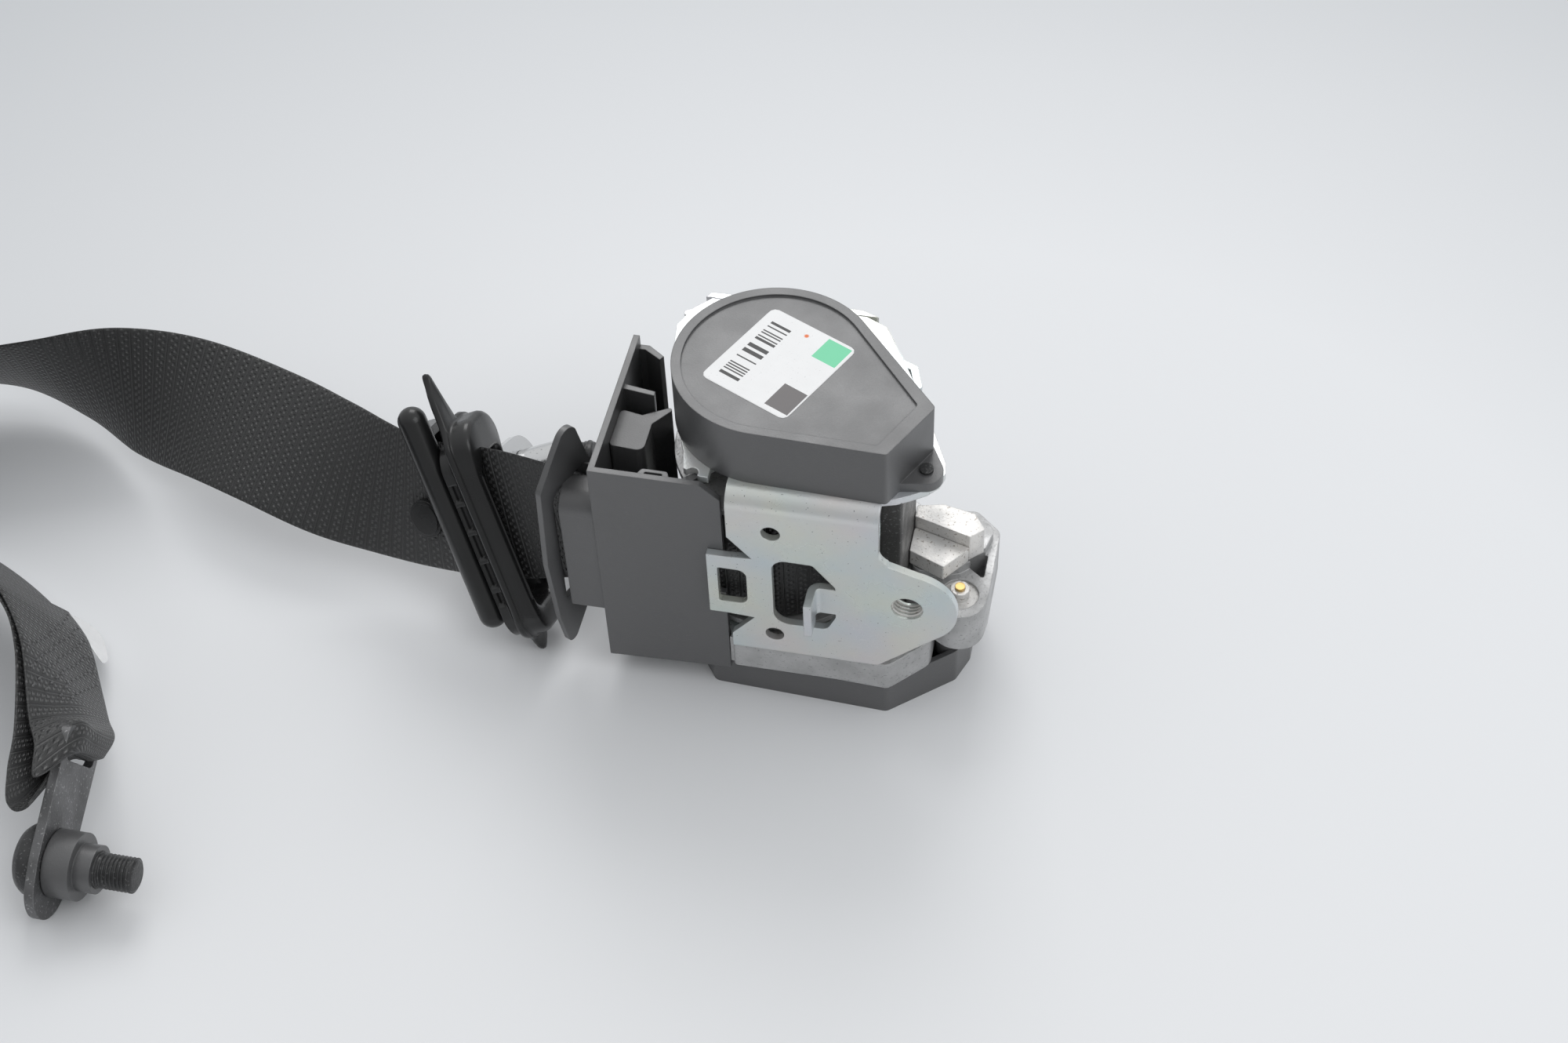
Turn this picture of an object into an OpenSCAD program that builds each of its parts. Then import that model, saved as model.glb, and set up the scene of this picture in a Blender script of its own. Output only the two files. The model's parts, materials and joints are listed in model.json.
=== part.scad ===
// Front seat belt: retractor, webbing, pillar loop, tongue, stop button and end anchor.
// Origin: the spool axis at the level of the surface that the belt lies on. Millimetres.

/* [Webbing] */
// Width of the webbing
web_w = 47; // [44:0.5:48]
// Thickness of the webbing
web_t = 1.2; // [1:0.1:1.4]
// Height of the middle of the webbing on the spool
web_z = 57; // [56:0.5:58]
// Radius of the wound webbing
roll_r = 29; // [27:0.5:30]
// Width of the pleated webbing at the end anchor
pleat_w = 18; // [16:1:20]

/* [Frame] */
// Thickness of the steel sheet
sheet_t = 2.5; // [2:0.1:3]
// Height of the underside of the frame
frame_z = 27; // [26:0.5:28]
// Height of the frame over both side walls
frame_h = 71.5; // [70:0.5:75]
// Distance from the spool axis to the front of the base plate
plate_y = 37; // [36:0.5:40]
// Left edge of the base plate
plate_left = -8.5; // [-9.5:0.5:-8]
// Right edge of the base plate above the bolt ear
plate_right = 38; // [37:0.5:40]
// Outer radius of the upper bend
bend_r = 6; // [5:0.5:7]
// Place of the bolt hole across the plate
bolt_x = 47; // [46:0.5:49]
// Height of the bolt hole
bolt_z = 57; // [56:0.5:58]
// Radius of the tapped bolt hole
bolt_hole_r = 4.95; // [4.5:0.05:5.2]
// Radius of the ear round the bolt hole
ear_r = 15.5; // [14:0.5:16]
// Radius of the two round holes in the base plate
rivet_hole_r = 3; // [2.5:0.1:3.5]

/* [Spring side] */
// Height of the spring cover
cover_h = 21.5; // [19:0.5:24]
// Radius of the round part of the spring cover
cover_r = 31; // [30:0.5:32]
// Wall of the spring cover
cover_wall = 2; // [1.5:0.1:2.5]
// Width of the raised rim on the spring cover
rim_w = 3; // [2:0.2:4]
// Depth of the face inside the rim
rim_d = 0.8; // [0.4:0.1:1.2]
// Thickness of the screw ear on the spring cover
cover_ear_t = 3.5; // [3:0.5:5]
// Radius of the spool's upper journal
journal_r = 7; // [6:0.25:8]
// Turns of the rewind spring
spring_turns = 6; // [3:1:8]
// Thickness of the rewind spring's strip
spring_t = 0.7; // [0.4:0.1:0.9]

/* [Lower side] */
// Height of the lower cover
lower_h = 15; // [14.5:0.5:15.5]
// Wall of the lower cover
lower_wall = 1.8; // [1.5:0.1:2.2]
// Radius of the torsion bar
torsion_r = 5; // [4:0.25:5.5]
// Outer radius of the ratchet wheel
ratchet_r = 20; // [19:0.25:20]
// Number of teeth on the ratchet wheel
ratchet_n = 24; // [24:12:24]
// Depth of a ratchet tooth
ratchet_d = 2.5; // [2:0.1:2.8]
// Thickness of the ratchet wheel and its pawl
ratchet_t = 4; // [3:0.5:4.5]
// Radius of the pawl's pin
pawl_pin_r = 2; // [1.5:0.1:2.2]
// Outer radius of the drive pinion
pinion_r = 13; // [12:0.25:13.3]
// Radius of the pretensioner piston
piston_r = 4.5; // [4:0.1:4.6]
// Radius of the vehicle sensor's ball
ball_r = 4; // [3.5:0.1:4]

/* [Guide] */
// Left face of the webbing guide
guide_left = 51; // [50:0.5:53]
// Wall of the webbing guide
guide_wall = 2; // [1.6:0.1:2]
// Height of the guide's lower edge
guide_z = 9.5; // [8:0.5:11]
// Height of the guide's upper edge
guide_top = 98; // [96:0.5:99]
// Depth of the guide behind the spool axis
guide_back = 24.5; // [24:0.5:26]
// Length of the outlet from the guide to its fin
outlet_l = 11; // [9:0.5:12]
// Thickness of the outlet's fin
fin_t = 2; // [1.5:0.1:2.5]

/* [Pillar loop and tongue] */
// Length of the pillar loop
loop_l = 102; // [98:1:103]
// Thickness of the pillar loop's flange
loop_t = 2.6; // [2.2:0.1:3]
// Opening of the loop's slot across the webbing's face
loop_slot = 17; // [17:0.5:18]
// Length of the loop's slot
loop_slot_l = 68; // [66:0.5:69]
// Height of the lip on the tongue's side of the loop
lip_near = 4.2; // [3.6:0.2:4.4]
// Height of the lip on the retractor's side of the loop
lip_far = 6; // [5.6:0.2:6.4]
// Distance from the slot's middle to the loop's bolt hole
loop_arm = 34; // [32:0.5:36]
// Radius of both mounting bolts' threads
thread_r = 5.55; // [5:0.05:6]
// Length of the tongue's grip
grip_l = 79; // [76:0.5:80]
// Radius of the tongue's grip
grip_r = 4.7; // [4.3:0.1:4.7]
// Length of the tongue's blade beyond the grip
blade_l = 34; // [30:1:36]
// Radius of the stop button
button_r = 6.5; // [5:0.25:7]

/* [End anchor] */
// Distance from the anchor bolt to the webbing's slot
anchor_arm = 33; // [33:0.5:33.5]
// Thickness of the anchor plate
anchor_t = 3; // [2.5:0.1:3.5]
// Radius of the anchor plate round the bolt
anchor_r = 12.6; // [12:0.1:12.8]
// Radius of the anchor bolt's domed head
head_r = 11.5; // [10:0.25:12]
// Length of the anchor bolt's thread
thread_l = 11; // [9:0.5:14]

/* [Hidden] */
$fn = 64;

// Clearances
fit = 0.05;
gap = 0.3;
eps = 0.01;

// Heights
frame_top = frame_z + frame_h;
cover_top = frame_top + cover_h;
web_lo = web_z - web_w / 2;
web_hi = web_z + web_w / 2;
spool_gap = 0.75;
spool_t = 2;
spool_lo = web_lo - spool_gap - spool_t;
spool_hi = web_hi + spool_gap + spool_t;
spool_r = roll_r + 3;
casting_z = lower_h;
casting_h = frame_z - casting_z;

// Places on the frame
plate_in = plate_y - sheet_t;
tab_left = -15.3;
tab_lo = 43;
tab_hi = 70;
rivet_x = 5.2;
rivet_lo = 35.5;
rivet_hi = 83.5;
tie_y = 44.5;
bush_r = journal_r + 3;
lower_hole_r = 22;
ear_pin = [49.4, -19.8];
back_pin = [-14, 34.5];

// Spring cover outline, as circles x, y and radius
cover_corner_r = 1.5;
cover_right = [48.6, -11.5];
cover_front = [38.6, -30.8];

// Lower mechanism
ratchet_z = 8;
pinion_z = 17;
pinion_h = 7;
pawl_at = [26, 15];
pawl_reach = [-3.81, -14.22];
pawl_tip_r = 0.9;
rack_x = pinion_r + 0.4 + piston_r;
rack_z = 21;
piston_l = 30;
piston_y = -32;
igniter = [60.5, -16];
igniter_r = 6;
sensor_at = [38, -12];

// Pillar loop and tongue: place, turn and step along the webbing
loop_at = [-95.6, -10.8, 43.2];
loop_turn = [-30, -19, 15];
loop_twist = -6;
tongue_at = [-(lip_near + grip_r + 0.4), -5.6, 3];
loop_foot = -5;
shank_r = thread_r + 0.17;
hole_r = shank_r + fit;
sleeve_r = 8.5;
sleeve_l = 14;

// End anchor: the bolt's place and the plate's lean
anchor_at = [-198, -146.6, 14.3];
anchor_lean = 27;

// Webbing route: x, y, z, lean of the width from upright, and width
ROUTE = [
    [2, -30, 57, 0, 1], [-14, -29.7, 57, 0, 1], [-32, -26.5, 57, 0, 1],
    [-49, -22.5, 57, 0, 1], [-63, -20, 56, 4, 1], [-78, -16.8, 52, 12, 1],
    [-95, -12.2, 45.6, 19, 1], [-109, -8.6, 40.8, 20, 1], [-122, -5.2, 38, 22, 1],
    [-138, -0.4, 36.8, 30, 1], [-158, 6, 36.4, 45, 1], [-182.5, 15.4, 36.2, 55, 1],
    [-210.5, 25.2, 34.6, 49, 1], [-238, 31.6, 31.7, 25, 1], [-263.5, 34.8, 30.6, -7, 1],
    [-290, 33.8, 32.1, -29, 1], [-314, 23.9, 33.2, -35, 1], [-328, 5.2, 33.3, -25, 1],
    [-324, -16.2, 32.9, -2, 1], [-304, -33.4, 33, 21, 1], [-277, -45.4, 33.9, 32, 1],
    [-249, -57.7, 34.7, 28, 1], [-227.5, -72.5, 33.5, 24, 1], [-216, -89, 31, 20, 0.9],
    [-210.5, -103, 30, 17, 0.55], [-206.5, -112, 29.4, 19, 0.15], [-200, -117, 29.3, 26, 0]];
// The folded end, from the anchor's slot back along the webbing
TAIL = [
    [-200, -117, 29.3, 26, 0], [-195.2, -116, 30, 20, 0], [-192.4, -111.5, 32, 3, 0.1],
    [-193.2, -104, 34, -6, 0.4], [-202, -95, 33.5, -16, 0.75], [-214.3, -88, 31.7, -20, 0.9],
    [-226.4, -71.4, 34.1, -24, 1], [-237, -63, 34.8, -27, 1]];
route_steps = 4;

// Points and curves

// A point at a radius and angle
function polar(r, a) = r * [cos(a), sin(a)];

// Angle of the outward normal shared by two circles of a rounded outline
function tangent(a, b) = let (d = [b[0] - a[0], b[1] - a[1]])
    atan2(d[1], d[0]) - acos((a[2] - b[2]) / norm(d));

// A convex outline round circles given anticlockwise as x, y and radius, each side their tangent
module round_outline(c) {
    n = len(c);
    polygon([for (i = [0 : n - 1]) let (at = [c[i][0], c[i][1]])
        each [at + polar(c[i][2], tangent(c[(i + n - 1) % n], c[i])),
              at + polar(c[i][2], tangent(c[i], c[(i + 1) % n]))]]);
    for (p = c) if (p[2] > 0) translate([p[0], p[1]]) circle(r = p[2]);
}

// The same outline with every radius changed by d
function grown(c, d) = [for (p = c) [p[0], p[1], p[2] + d]];

// A block from one corner to the other
module block(lo, hi) translate(lo) cube(hi - lo);

// A flat shape drawn in x and z, given a thickness along y from the front face
module upright(front, t) translate([0, front + t, 0]) rotate([90, 0, 0]) linear_extrude(t)
    children();

// A ring or tube
module tube(r_out, r_in, h) difference() {
    cylinder(r = r_out, h = h);
    translate([0, 0, -1]) cylinder(r = r_in, h = h + 2);
}

// One point of a smooth curve through four neighbours
function curve(a, b, c, d, t) = 0.5 * (2 * b + (c - a) * t
    + (2 * a - 5 * b + 4 * c - d) * t * t + (3 * b - a - 3 * c + d) * t * t * t);

// A route with points added between its own
function fine(p) = let (n = len(p)) concat(
    [for (i = [0 : n - 2], s = [0 : route_steps - 1])
        curve(p[max(i - 1, 0)], p[i], p[i + 1], p[min(i + 2, n - 1)], s / route_steps)],
    [p[n - 1]]);

function place(p) = [p[0], p[1], p[2]];
function unit(v) = v / norm(v);

// Direction of travel at point i of the route
function heading(r, i) = unit(place(r[min(i + 1, len(r) - 1)]) - place(r[max(i - 1, 0)]));

// Direction of the webbing's width, upright and then leaned to the left of travel
function width_dir(r, i) = let (t = heading(r, i), z = [0, 0, 1], up = unit(z - (z * t) * t),
    side = cross(up, t)) cos(r[i][3]) * up - sin(r[i][3]) * side;

// Full width, less where it is pleated
function width_at(p) = pleat_w + (web_w - pleat_w) * p[4];

// A flat strip swept along the route, with four corners at each point
module strip(r, t) {
    n = len(r);
    corners = [for (i = [0 : n - 1]) let (w = width_dir(r, i), f = cross(w, heading(r, i)))
        for (q = [[-1, -1], [1, -1], [1, 1], [-1, 1]])
            place(r[i]) + w * (q[0] * width_at(r[i]) / 2) + f * (q[1] * t / 2)];
    sides = [for (i = [0 : n - 2], k = [0 : 3]) let (a = 4 * i + k, b = 4 * i + (k + 1) % 4)
        each [[a, b, b + 4], [a, b + 4, a + 4]]];
    polyhedron(corners, concat([[0, 3, 2, 1]], sides,
        [[4 * n - 4, 4 * n - 3, 4 * n - 2, 4 * n - 1]]), convexity = 10);
}

// Frame

// Front outline of the base plate, in x and z
module plate_outline() {
    top = frame_top - bend_r;
    difference() {
        union() {
            translate([plate_left, frame_z + eps])
                square([plate_right - plate_left, top - frame_z - eps]);
            translate([bolt_x, bolt_z]) circle(r = ear_r);
            polygon([[plate_right - 1, frame_z + eps], [plate_right, frame_z + eps],
                [bolt_x, bolt_z] + polar(ear_r, -52), [bolt_x, bolt_z] + polar(ear_r, 62),
                [plate_right + 3, bolt_z + 18.5], [plate_right - 1, bolt_z + 24]]);
            translate([tab_left, tab_lo]) square([plate_left - tab_left + 1, tab_hi - tab_lo]);
        }
        translate([plate_right + 5, bolt_z + 23.5]) circle(r = 5);
        polygon([[plate_left - 1, tab_hi + 10], [plate_left, tab_hi + 9.5],
            [plate_left + 7.5, tab_hi + 0.6], [plate_left - 1, tab_hi]]);
        polygon([[plate_left - 1, tab_lo], [plate_left + 7.5, tab_lo - 0.6],
            [plate_left, tab_lo - 10], [plate_left - 1, tab_lo - 11]]);
        // Catch window in the tab
        round_outline([[-11.3, 49.3, 0.8], [-6, 51.5, 3], [-6, 61.5, 3], [-11.3, 63.7, 0.8]]);
        // Main window, with its slanted corner
        round_outline([[10.1, 46.3, 5], [20, 44.4, 3], [24.2, 48, 0.6], [24.2, 62, 0.6],
            [17, 69.8, 1.6], [9.6, 67, 4.5]]);
        for (z = [rivet_lo, rivet_hi]) translate([rivet_x, z]) circle(r = rivet_hole_r);
        translate([bolt_x, bolt_z]) circle(r = bolt_hole_r);
    }
}

// Plan of the upper side wall
module upper_wall_outline() {
    front = -(plate_y - bend_r);
    difference() {
        polygon([[plate_left, front], [plate_left, -27], [-10, -25.5], [-13, -25.5],
            [-14.5, -27], [-14.5, -31], [-17, -31], [-22.5, -28.5], [-24, -22],
            [-28.5, -10], [-37, 20], [-38.5, 31], [-35, 39], [-30, tie_y], [20, tie_y],
            [27, 41], [36, 25], [43, 12], [51.5, -7], [54.2, -13], [54.8, -17], [53.6, -21],
            [50.5, -24.6], [46, -27.6], [42, -29.8], [plate_right, front]]);
        translate([-19.6, -29.8]) circle(r = 2);
        circle(r = bush_r + fit);
        for (p = [ear_pin, back_pin]) translate(p) circle(r = 1.6);
    }
}

// A quarter bend along x between two places, its centre at y and z
module bend(x0, x1, y, z, r) intersection() {
    translate([x0, y, z]) rotate([0, 90, 0]) tube(r, r - sheet_t, x1 - x0);
    block([x0, y - r - 1, z], [x1, y, z + r + 1]);
}

// Hook lanced out of the main window and turned towards the front
module lanced_hook() {
    r = 4;
    root = 24.3;
    translate([root - r, -plate_y - r + sheet_t, 0]) {
        intersection() {
            translate([0, 0, 49.5]) tube(r, r - sheet_t, 11.5);
            block([-r - 1, 0, 49], [0, r + 1, 62]);
        }
        block([-r, -6.5, 47], [-r + sheet_t, 0, 61]);
        block([0, r - sheet_t, 49.5], [r + 1.2, r, 61]);
    }
}

module frame() color("silver") {
    upright(-plate_y, sheet_t) plate_outline();
    bend(plate_left, plate_right, -(plate_y - bend_r), frame_top - bend_r, bend_r);
    translate([0, 0, frame_top - sheet_t]) linear_extrude(sheet_t) upper_wall_outline();
    // Lower side wall, folded sharply behind the plate's lower edge
    translate([0, 0, frame_z]) linear_extrude(sheet_t) difference() {
        round_outline([[plate_left + 1, -plate_y + 1, 1], [plate_right - 1, -plate_y + 1, 1],
            [34, 10, 6], [20, tie_y - 5, 5], [-20, tie_y - 5, 5], [-17, -6, 6]]);
        circle(r = lower_hole_r);
    }
    lanced_hook();
    // Collar of the tapped hole
    translate([bolt_x, -plate_in - eps, bolt_z]) rotate([-90, 0, 0])
        tube(bolt_hole_r + 2.6, bolt_hole_r, 4);
}

// Sheet strap that closes the open side of the frame
module tie_plate() color("lightgray") {
    path = [[-37, 39.5], [-32.5, 41.5], [-30, tie_y + sheet_t / 2 + gap / 2],
        [18, tie_y + sheet_t / 2 + gap / 2], [26, 42.5], [33.5, 29.5], [38, 27.5], [40.5, 20]];
    r = sheet_t / 2;
    difference() {
        union() {
            for (i = [0 : len(path) - 2]) translate([0, 0, i < 2 || i > 3 ? 62 : frame_z])
                linear_extrude(frame_top - (i > 4 ? 1 : 0)
                    - (i < 2 || i > 3 ? 62 : frame_z))
                round_outline([concat(path[i], r), concat(path[i + 1], r)]);
        }
        upright(tie_y - 5, 20) round_outline([[-16, 46, 6], [10, 46, 6], [10, 78, 6],
            [-16, 78, 6]]);
        block([-40, 35, frame_top - sheet_t - gap], [-29.1, tie_y + gap, frame_top + gap]);
        block([17.4, 18, frame_top - sheet_t - gap], [44, tie_y + gap, frame_top + gap]);
        block([17.4, 18, frame_z - gap], [44, tie_y + gap, frame_z + sheet_t + gap]);
    }
}

// Spring side

cover_line = [[0, 0, cover_r], [cover_front[0], cover_front[1], cover_corner_r],
    [cover_right[0], cover_right[1], cover_corner_r]];

module spring_cover() color("dimgray") translate([0, 0, frame_top]) difference() {
    union() {
        linear_extrude(cover_h) round_outline(cover_line);
        linear_extrude(cover_ear_t) {
            round_outline([[34, -25, 3], [49, -20, 5.5], [46, -9, 3]]);
            round_outline([[back_pin[0], back_pin[1], 5], [-24, 16, 4], [2, 24, 4]]);
        }
    }
    translate([0, 0, -1]) linear_extrude(cover_h - cover_wall - rim_d + 1)
        round_outline(grown(cover_line, -cover_wall + (cover_corner_r > cover_wall ? 0 : 0.6)));
    translate([0, 0, cover_h - rim_d]) linear_extrude(2) offset_outline(rim_w);
    for (p = [ear_pin, back_pin]) translate([p[0], p[1], -1])
        cylinder(r = 1.6, h = cover_ear_t + 2);
}

// The cover's outline moved inwards, with corners kept round
module offset_outline(d) {
    lean = d * 1.1;
    round_outline([[0, 0, cover_r - d],
        [cover_front[0] - lean, cover_front[1] + lean, cover_corner_r],
        [cover_right[0] - lean * 1.6, cover_right[1] + 0.2, cover_corner_r]]);
}

module cover_pins() color("black") for (p = [ear_pin, back_pin]) translate([p[0], p[1], 0]) {
    translate([0, 0, frame_top - sheet_t - 2]) cylinder(r = 1.55, h = sheet_t + cover_ear_t + 2);
    translate([0, 0, frame_top + cover_ear_t]) cylinder(r = 2.1, h = 0.9);
}

module spring_plate() color("gray") translate([0, 0, frame_top])
    tube(cover_r - cover_wall - gap - 0.4, bush_r + 2, 1.5);

// Spiral strip wound from the arbor out to the cover
module rewind_spring() color("slategray") {
    r0 = journal_r + 2.5;
    r1 = cover_r - cover_wall - 2.5;
    n = 20;
    pitch = (r1 - r0) / spring_turns;
    out = [for (i = [0 : n * spring_turns]) polar(r0 + pitch * i / n, 360 * i / n)];
    in = [for (i = [n * spring_turns : -1 : 0])
        polar(r0 - spring_t + pitch * i / n, 360 * i / n)];
    translate([0, 0, frame_top + 2.5]) linear_extrude(cover_h - cover_wall - rim_d - 4)
        polygon(concat(out, in));
}

module spring_arbor() color("ivory") translate([0, 0, frame_top + 2]) difference() {
    cylinder(r = journal_r + 1, h = cover_h - cover_wall - rim_d - 3);
    translate([0, 0, -1]) cylinder(r = journal_r - 2.5, h = 9);
    block([journal_r - 1, -0.5, -1], [journal_r + 2, 0.5, cover_h]);
}

module spool_bushes() color("ivory") {
    translate([0, 0, frame_top - sheet_t]) tube(bush_r, journal_r + fit, sheet_t + 1);
    translate([0, 0, frame_top - sheet_t - 1]) tube(bush_r + 2, journal_r + fit, 1);
    translate([0, 0, frame_z - 3]) tube(lower_bush_r, journal_r + fit, 3);
}
lower_bush_r = 12;

// Spool and what turns with it

module spool() color("gainsboro") difference() {
    union() {
        translate([0, 0, spool_lo]) cylinder(r = spool_r, h = spool_t);
        translate([0, 0, spool_hi - spool_t]) cylinder(r = spool_r, h = spool_t);
        translate([0, 0, spool_lo]) cylinder(r = 11.5, h = spool_hi - spool_lo);
        translate([0, 0, frame_z - 3]) cylinder(r = journal_r, h = spool_lo - frame_z + 4);
        translate([0, 0, spool_hi - 1]) cylinder(r = journal_r, h = frame_top + 2 - spool_hi + 1);
        for (a = [0 : 45 : 315]) rotate(a)
            block([10, -1, spool_hi - 1], [spool_r - 4, 1, spool_hi + 3]);
    }
    translate([0, 0, frame_z - 4]) cylinder(r = torsion_r, h = spool_hi - frame_z + 6);
}

// Webbing wound on the spool, with the edges of its turns showing at both ends
module webbing_roll() color("#242426") difference() {
    translate([0, 0, web_lo]) tube(roll_r, 11.5, web_w);
    for (k = [1 : 6], z = [web_lo - 1, web_hi - 0.6]) translate([0, 0, z])
        tube(roll_r - 2.4 * k + 0.45, roll_r - 2.4 * k, 1.6);
}

module torsion_bar() color("darkgray") {
    translate([0, 0, 3]) cylinder(r = torsion_r, h = spool_hi - 1);
    translate([0, 0, pinion_z - 1.5]) cylinder(r = torsion_r + 1.5, h = 1.5);
}

// Pinion that the pretensioner's rack drives
module drive_pinion() color("gray") translate([0, 0, pinion_z]) difference() {
    n = 12;
    linear_extrude(pinion_h) polygon([for (i = [0 : n - 1]) let (a = 360 / n * i) each [
        polar(pinion_r - 4, a), polar(pinion_r - 3.4, a + 5), polar(pinion_r, a + 11),
        polar(pinion_r, a + 19), polar(pinion_r - 3.4, a + 25)]]);
    translate([0, 0, -1]) cylinder(r = torsion_r, h = pinion_h + 2);
}

// Wheel with slanted teeth that the lock pawl catches
module ratchet_wheel() color("gray") translate([0, 0, ratchet_z]) difference() {
    step = 360 / ratchet_n;
    linear_extrude(ratchet_t) polygon([for (i = [0 : ratchet_n - 1]) each [
        polar(ratchet_r, i * step), polar(ratchet_r - ratchet_d, i * step + 1)]]);
    translate([0, 0, -1]) cylinder(r = torsion_r, h = ratchet_t + 2);
    for (a = [0 : 60 : 300]) rotate(a) translate([11, 0, -1]) cylinder(r = 3, h = ratchet_t + 2);
}

module lock_pawl() color("darkgray") translate([pawl_at[0], pawl_at[1], ratchet_z]) difference() {
    linear_extrude(ratchet_t) round_outline([[0, 0, pawl_pin_r + 2],
        concat(pawl_reach, pawl_tip_r)]);
    translate([0, 0, -1]) cylinder(r = pawl_pin_r + fit, h = ratchet_t + 2);
}

module pawl_pin() color("silver") translate([pawl_at[0], pawl_at[1], lower_wall])
    cylinder(r = pawl_pin_r, h = lower_h - lower_wall);

// Lower side

lower_line = [[-15, -29, 3], [39.5, -31.5, 3], [58, -16, 3], [61, -8, 3], [60, 12, 4],
    [42, 26, 5], [-12, 33, 5], [-28, 18, 5], [-28, -8, 5]];

module lower_cover() color("#2e2e30") difference() {
    union() {
        difference() {
            linear_extrude(lower_h) round_outline(lower_line);
            translate([0, 0, lower_wall]) linear_extrude(lower_h)
                round_outline(grown(lower_line, -lower_wall));
        }
        for (p = screw_posts) translate([p[0], p[1], 0]) cylinder(r = 3.5, h = lower_h);
        // Shoulder under the casting's raised body
        translate([0, 0, lower_h - 3]) linear_extrude(frame_z - 2.3 - lower_h + 3)
            round_outline(shoulder_line);
        translate([pawl_at[0], pawl_at[1], lower_wall - 0.5]) cylinder(r = 4, h = 3);
    }
    for (p = screw_posts) translate([p[0], p[1], -1]) {
        cylinder(r = 1.6, h = p[0] > 50 ? 12 : lower_h + 2);
        cylinder(r = 3, h = 2.5);
    }
    translate([pawl_at[0], pawl_at[1], lower_wall]) cylinder(r = pawl_pin_r, h = lower_h);
}
screw_posts = [[-22, 12], [35, 25], [54, 2], [-12, -24]];
shoulder_line = [[56.2, -15, 3], [59.5, -9, 3], [59.5, 8, 3], [56.2, 10, 3]];

module cover_screws() color("silver") for (p = screw_posts) translate([p[0], p[1], 0.1]) {
    cylinder(r = 2.8, h = 1.4);
    cylinder(r = 1.55, h = p[0] > 50 ? 10 : lower_h + 4);
}

casting_line = [[-16, -31, 3], [40, -33.5, 3], [47, -22, 6], [47, 20, 6], [36, 29, 5],
    [-12, 32, 6], [-27, 18, 6], [-27, -8, 6]];

module pretensioner_housing() color("#b9bbbd") difference() {
    union() {
        translate([0, 0, casting_z]) linear_extrude(casting_h) round_outline(casting_line);
        // Front band below the base plate
        translate([0, 0, casting_z + 1]) linear_extrude(casting_h - 1.5)
            round_outline([[plate_left + 1, -plate_y + 2, 1.5],
                [plate_right - 1, -plate_y + 2, 1.5], [43, -27, 3], [-7, -27, 3]]);
        // Raised body outside the frame
        translate([0, 0, frame_z - 1]) linear_extrude(16)
            round_outline([[60.5, -17, 8.5], [66, -13, 3.5], [66, 10, 3.5], [60, 16, 3],
                [46, 14, 3], [46, -14.6, 3]]);
        translate([0, 0, frame_z - 2]) linear_extrude(20.5)
            round_outline([[47.5, 8.5, 3.5], [47.5, -8, 3.5], [58, -6, 2], [63.5, -1, 2],
                [63.5, 8, 4]]);
    }
    // Pinion chamber and the lower bush's seat
    translate([0, 0, casting_z - 1]) cylinder(r = pinion_r + 1.2, h = casting_h - 2);
    translate([0, 0, casting_z]) cylinder(r = lower_bush_r, h = casting_h + 2);
    // Piston bore
    translate([rack_x, -33.5, rack_z]) rotate([-90, 0, 0]) cylinder(r = piston_r + fit, h = 61);
    // Seat of the gas generator
    translate([igniter[0], igniter[1], igniter_z]) cylinder(r = igniter_r, h = 40);
    // Pocket beside the boss
    translate([0, 0, frame_z + 5]) linear_extrude(20)
        round_outline([[61.5, -3.6, 0.8], [66.2, -7.2, 0.8], [66.2, 0.5, 0.8]]);
    for (p = casting_posts) translate([p[0], p[1], casting_z - 1]) cylinder(r = 1.55, h = 6);
    // Relief behind the guide's front wall
    block([-24, -40, casting_z - 1], [-10.3, -32.2, frame_z + 1]);
}
igniter_z = 29;
casting_posts = [screw_posts[0], screw_posts[1], screw_posts[3]];

// Upright block inside the frame, beside the spool
module tower_block() color("#4a4b4d") translate([0, 0, frame_z + sheet_t + eps])
    linear_extrude(frame_h - 2 * sheet_t - 2 * eps)
    round_outline([[37, -22, 1], [42, -22, 1], [42, 4, 1], [37, 4, 1]]);

module wedge_block_lower() color("#a9a49c") translate([0, 0, 46]) linear_extrude(6)
    round_outline([[43.9, -9, 0.6], [54.6, -13.6, 0.6], [60.8, -5.4, 0.6], [43.9, -0.4, 0.6]]);

module wedge_block_upper() color("#b3aea6") translate([0, 0, 46]) linear_extrude(11)
    round_outline([[43.9, 1.1, 0.6], [61.4, -4.2, 0.6], [65, -0.8, 0.6], [61.4, 4.4, 0.6],
        [51.5, 6.6, 0.6], [43.9, 4.8, 0.6]]);

module gas_generator() color("silver") translate([igniter[0], igniter[1], igniter_z]) {
    difference() {
        union() {
            cylinder(r = igniter_r, h = 12);
            cylinder(r = 3, h = 16);
        }
        translate([0, 0, 6]) cylinder(r = 1.6, h = 20);
    }
}

module contact_pin() color("darkgoldenrod") translate([igniter[0], igniter[1],
    igniter_z + 6]) cylinder(r = 1.6, h = 11);

// Piston with rack teeth towards the pinion
module piston_rack() color("silver") translate([rack_x, piston_y, rack_z]) difference() {
    rotate([-90, 0, 0]) cylinder(r = piston_r, h = piston_l);
    for (y = [8 : 3 : piston_l - 2]) translate([-piston_r - 1, y, -piston_r])
        linear_extrude(2 * piston_r) polygon([[0, -1], [2.6, 0], [2.6, 0.8], [0, 1.8]]);
}

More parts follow.
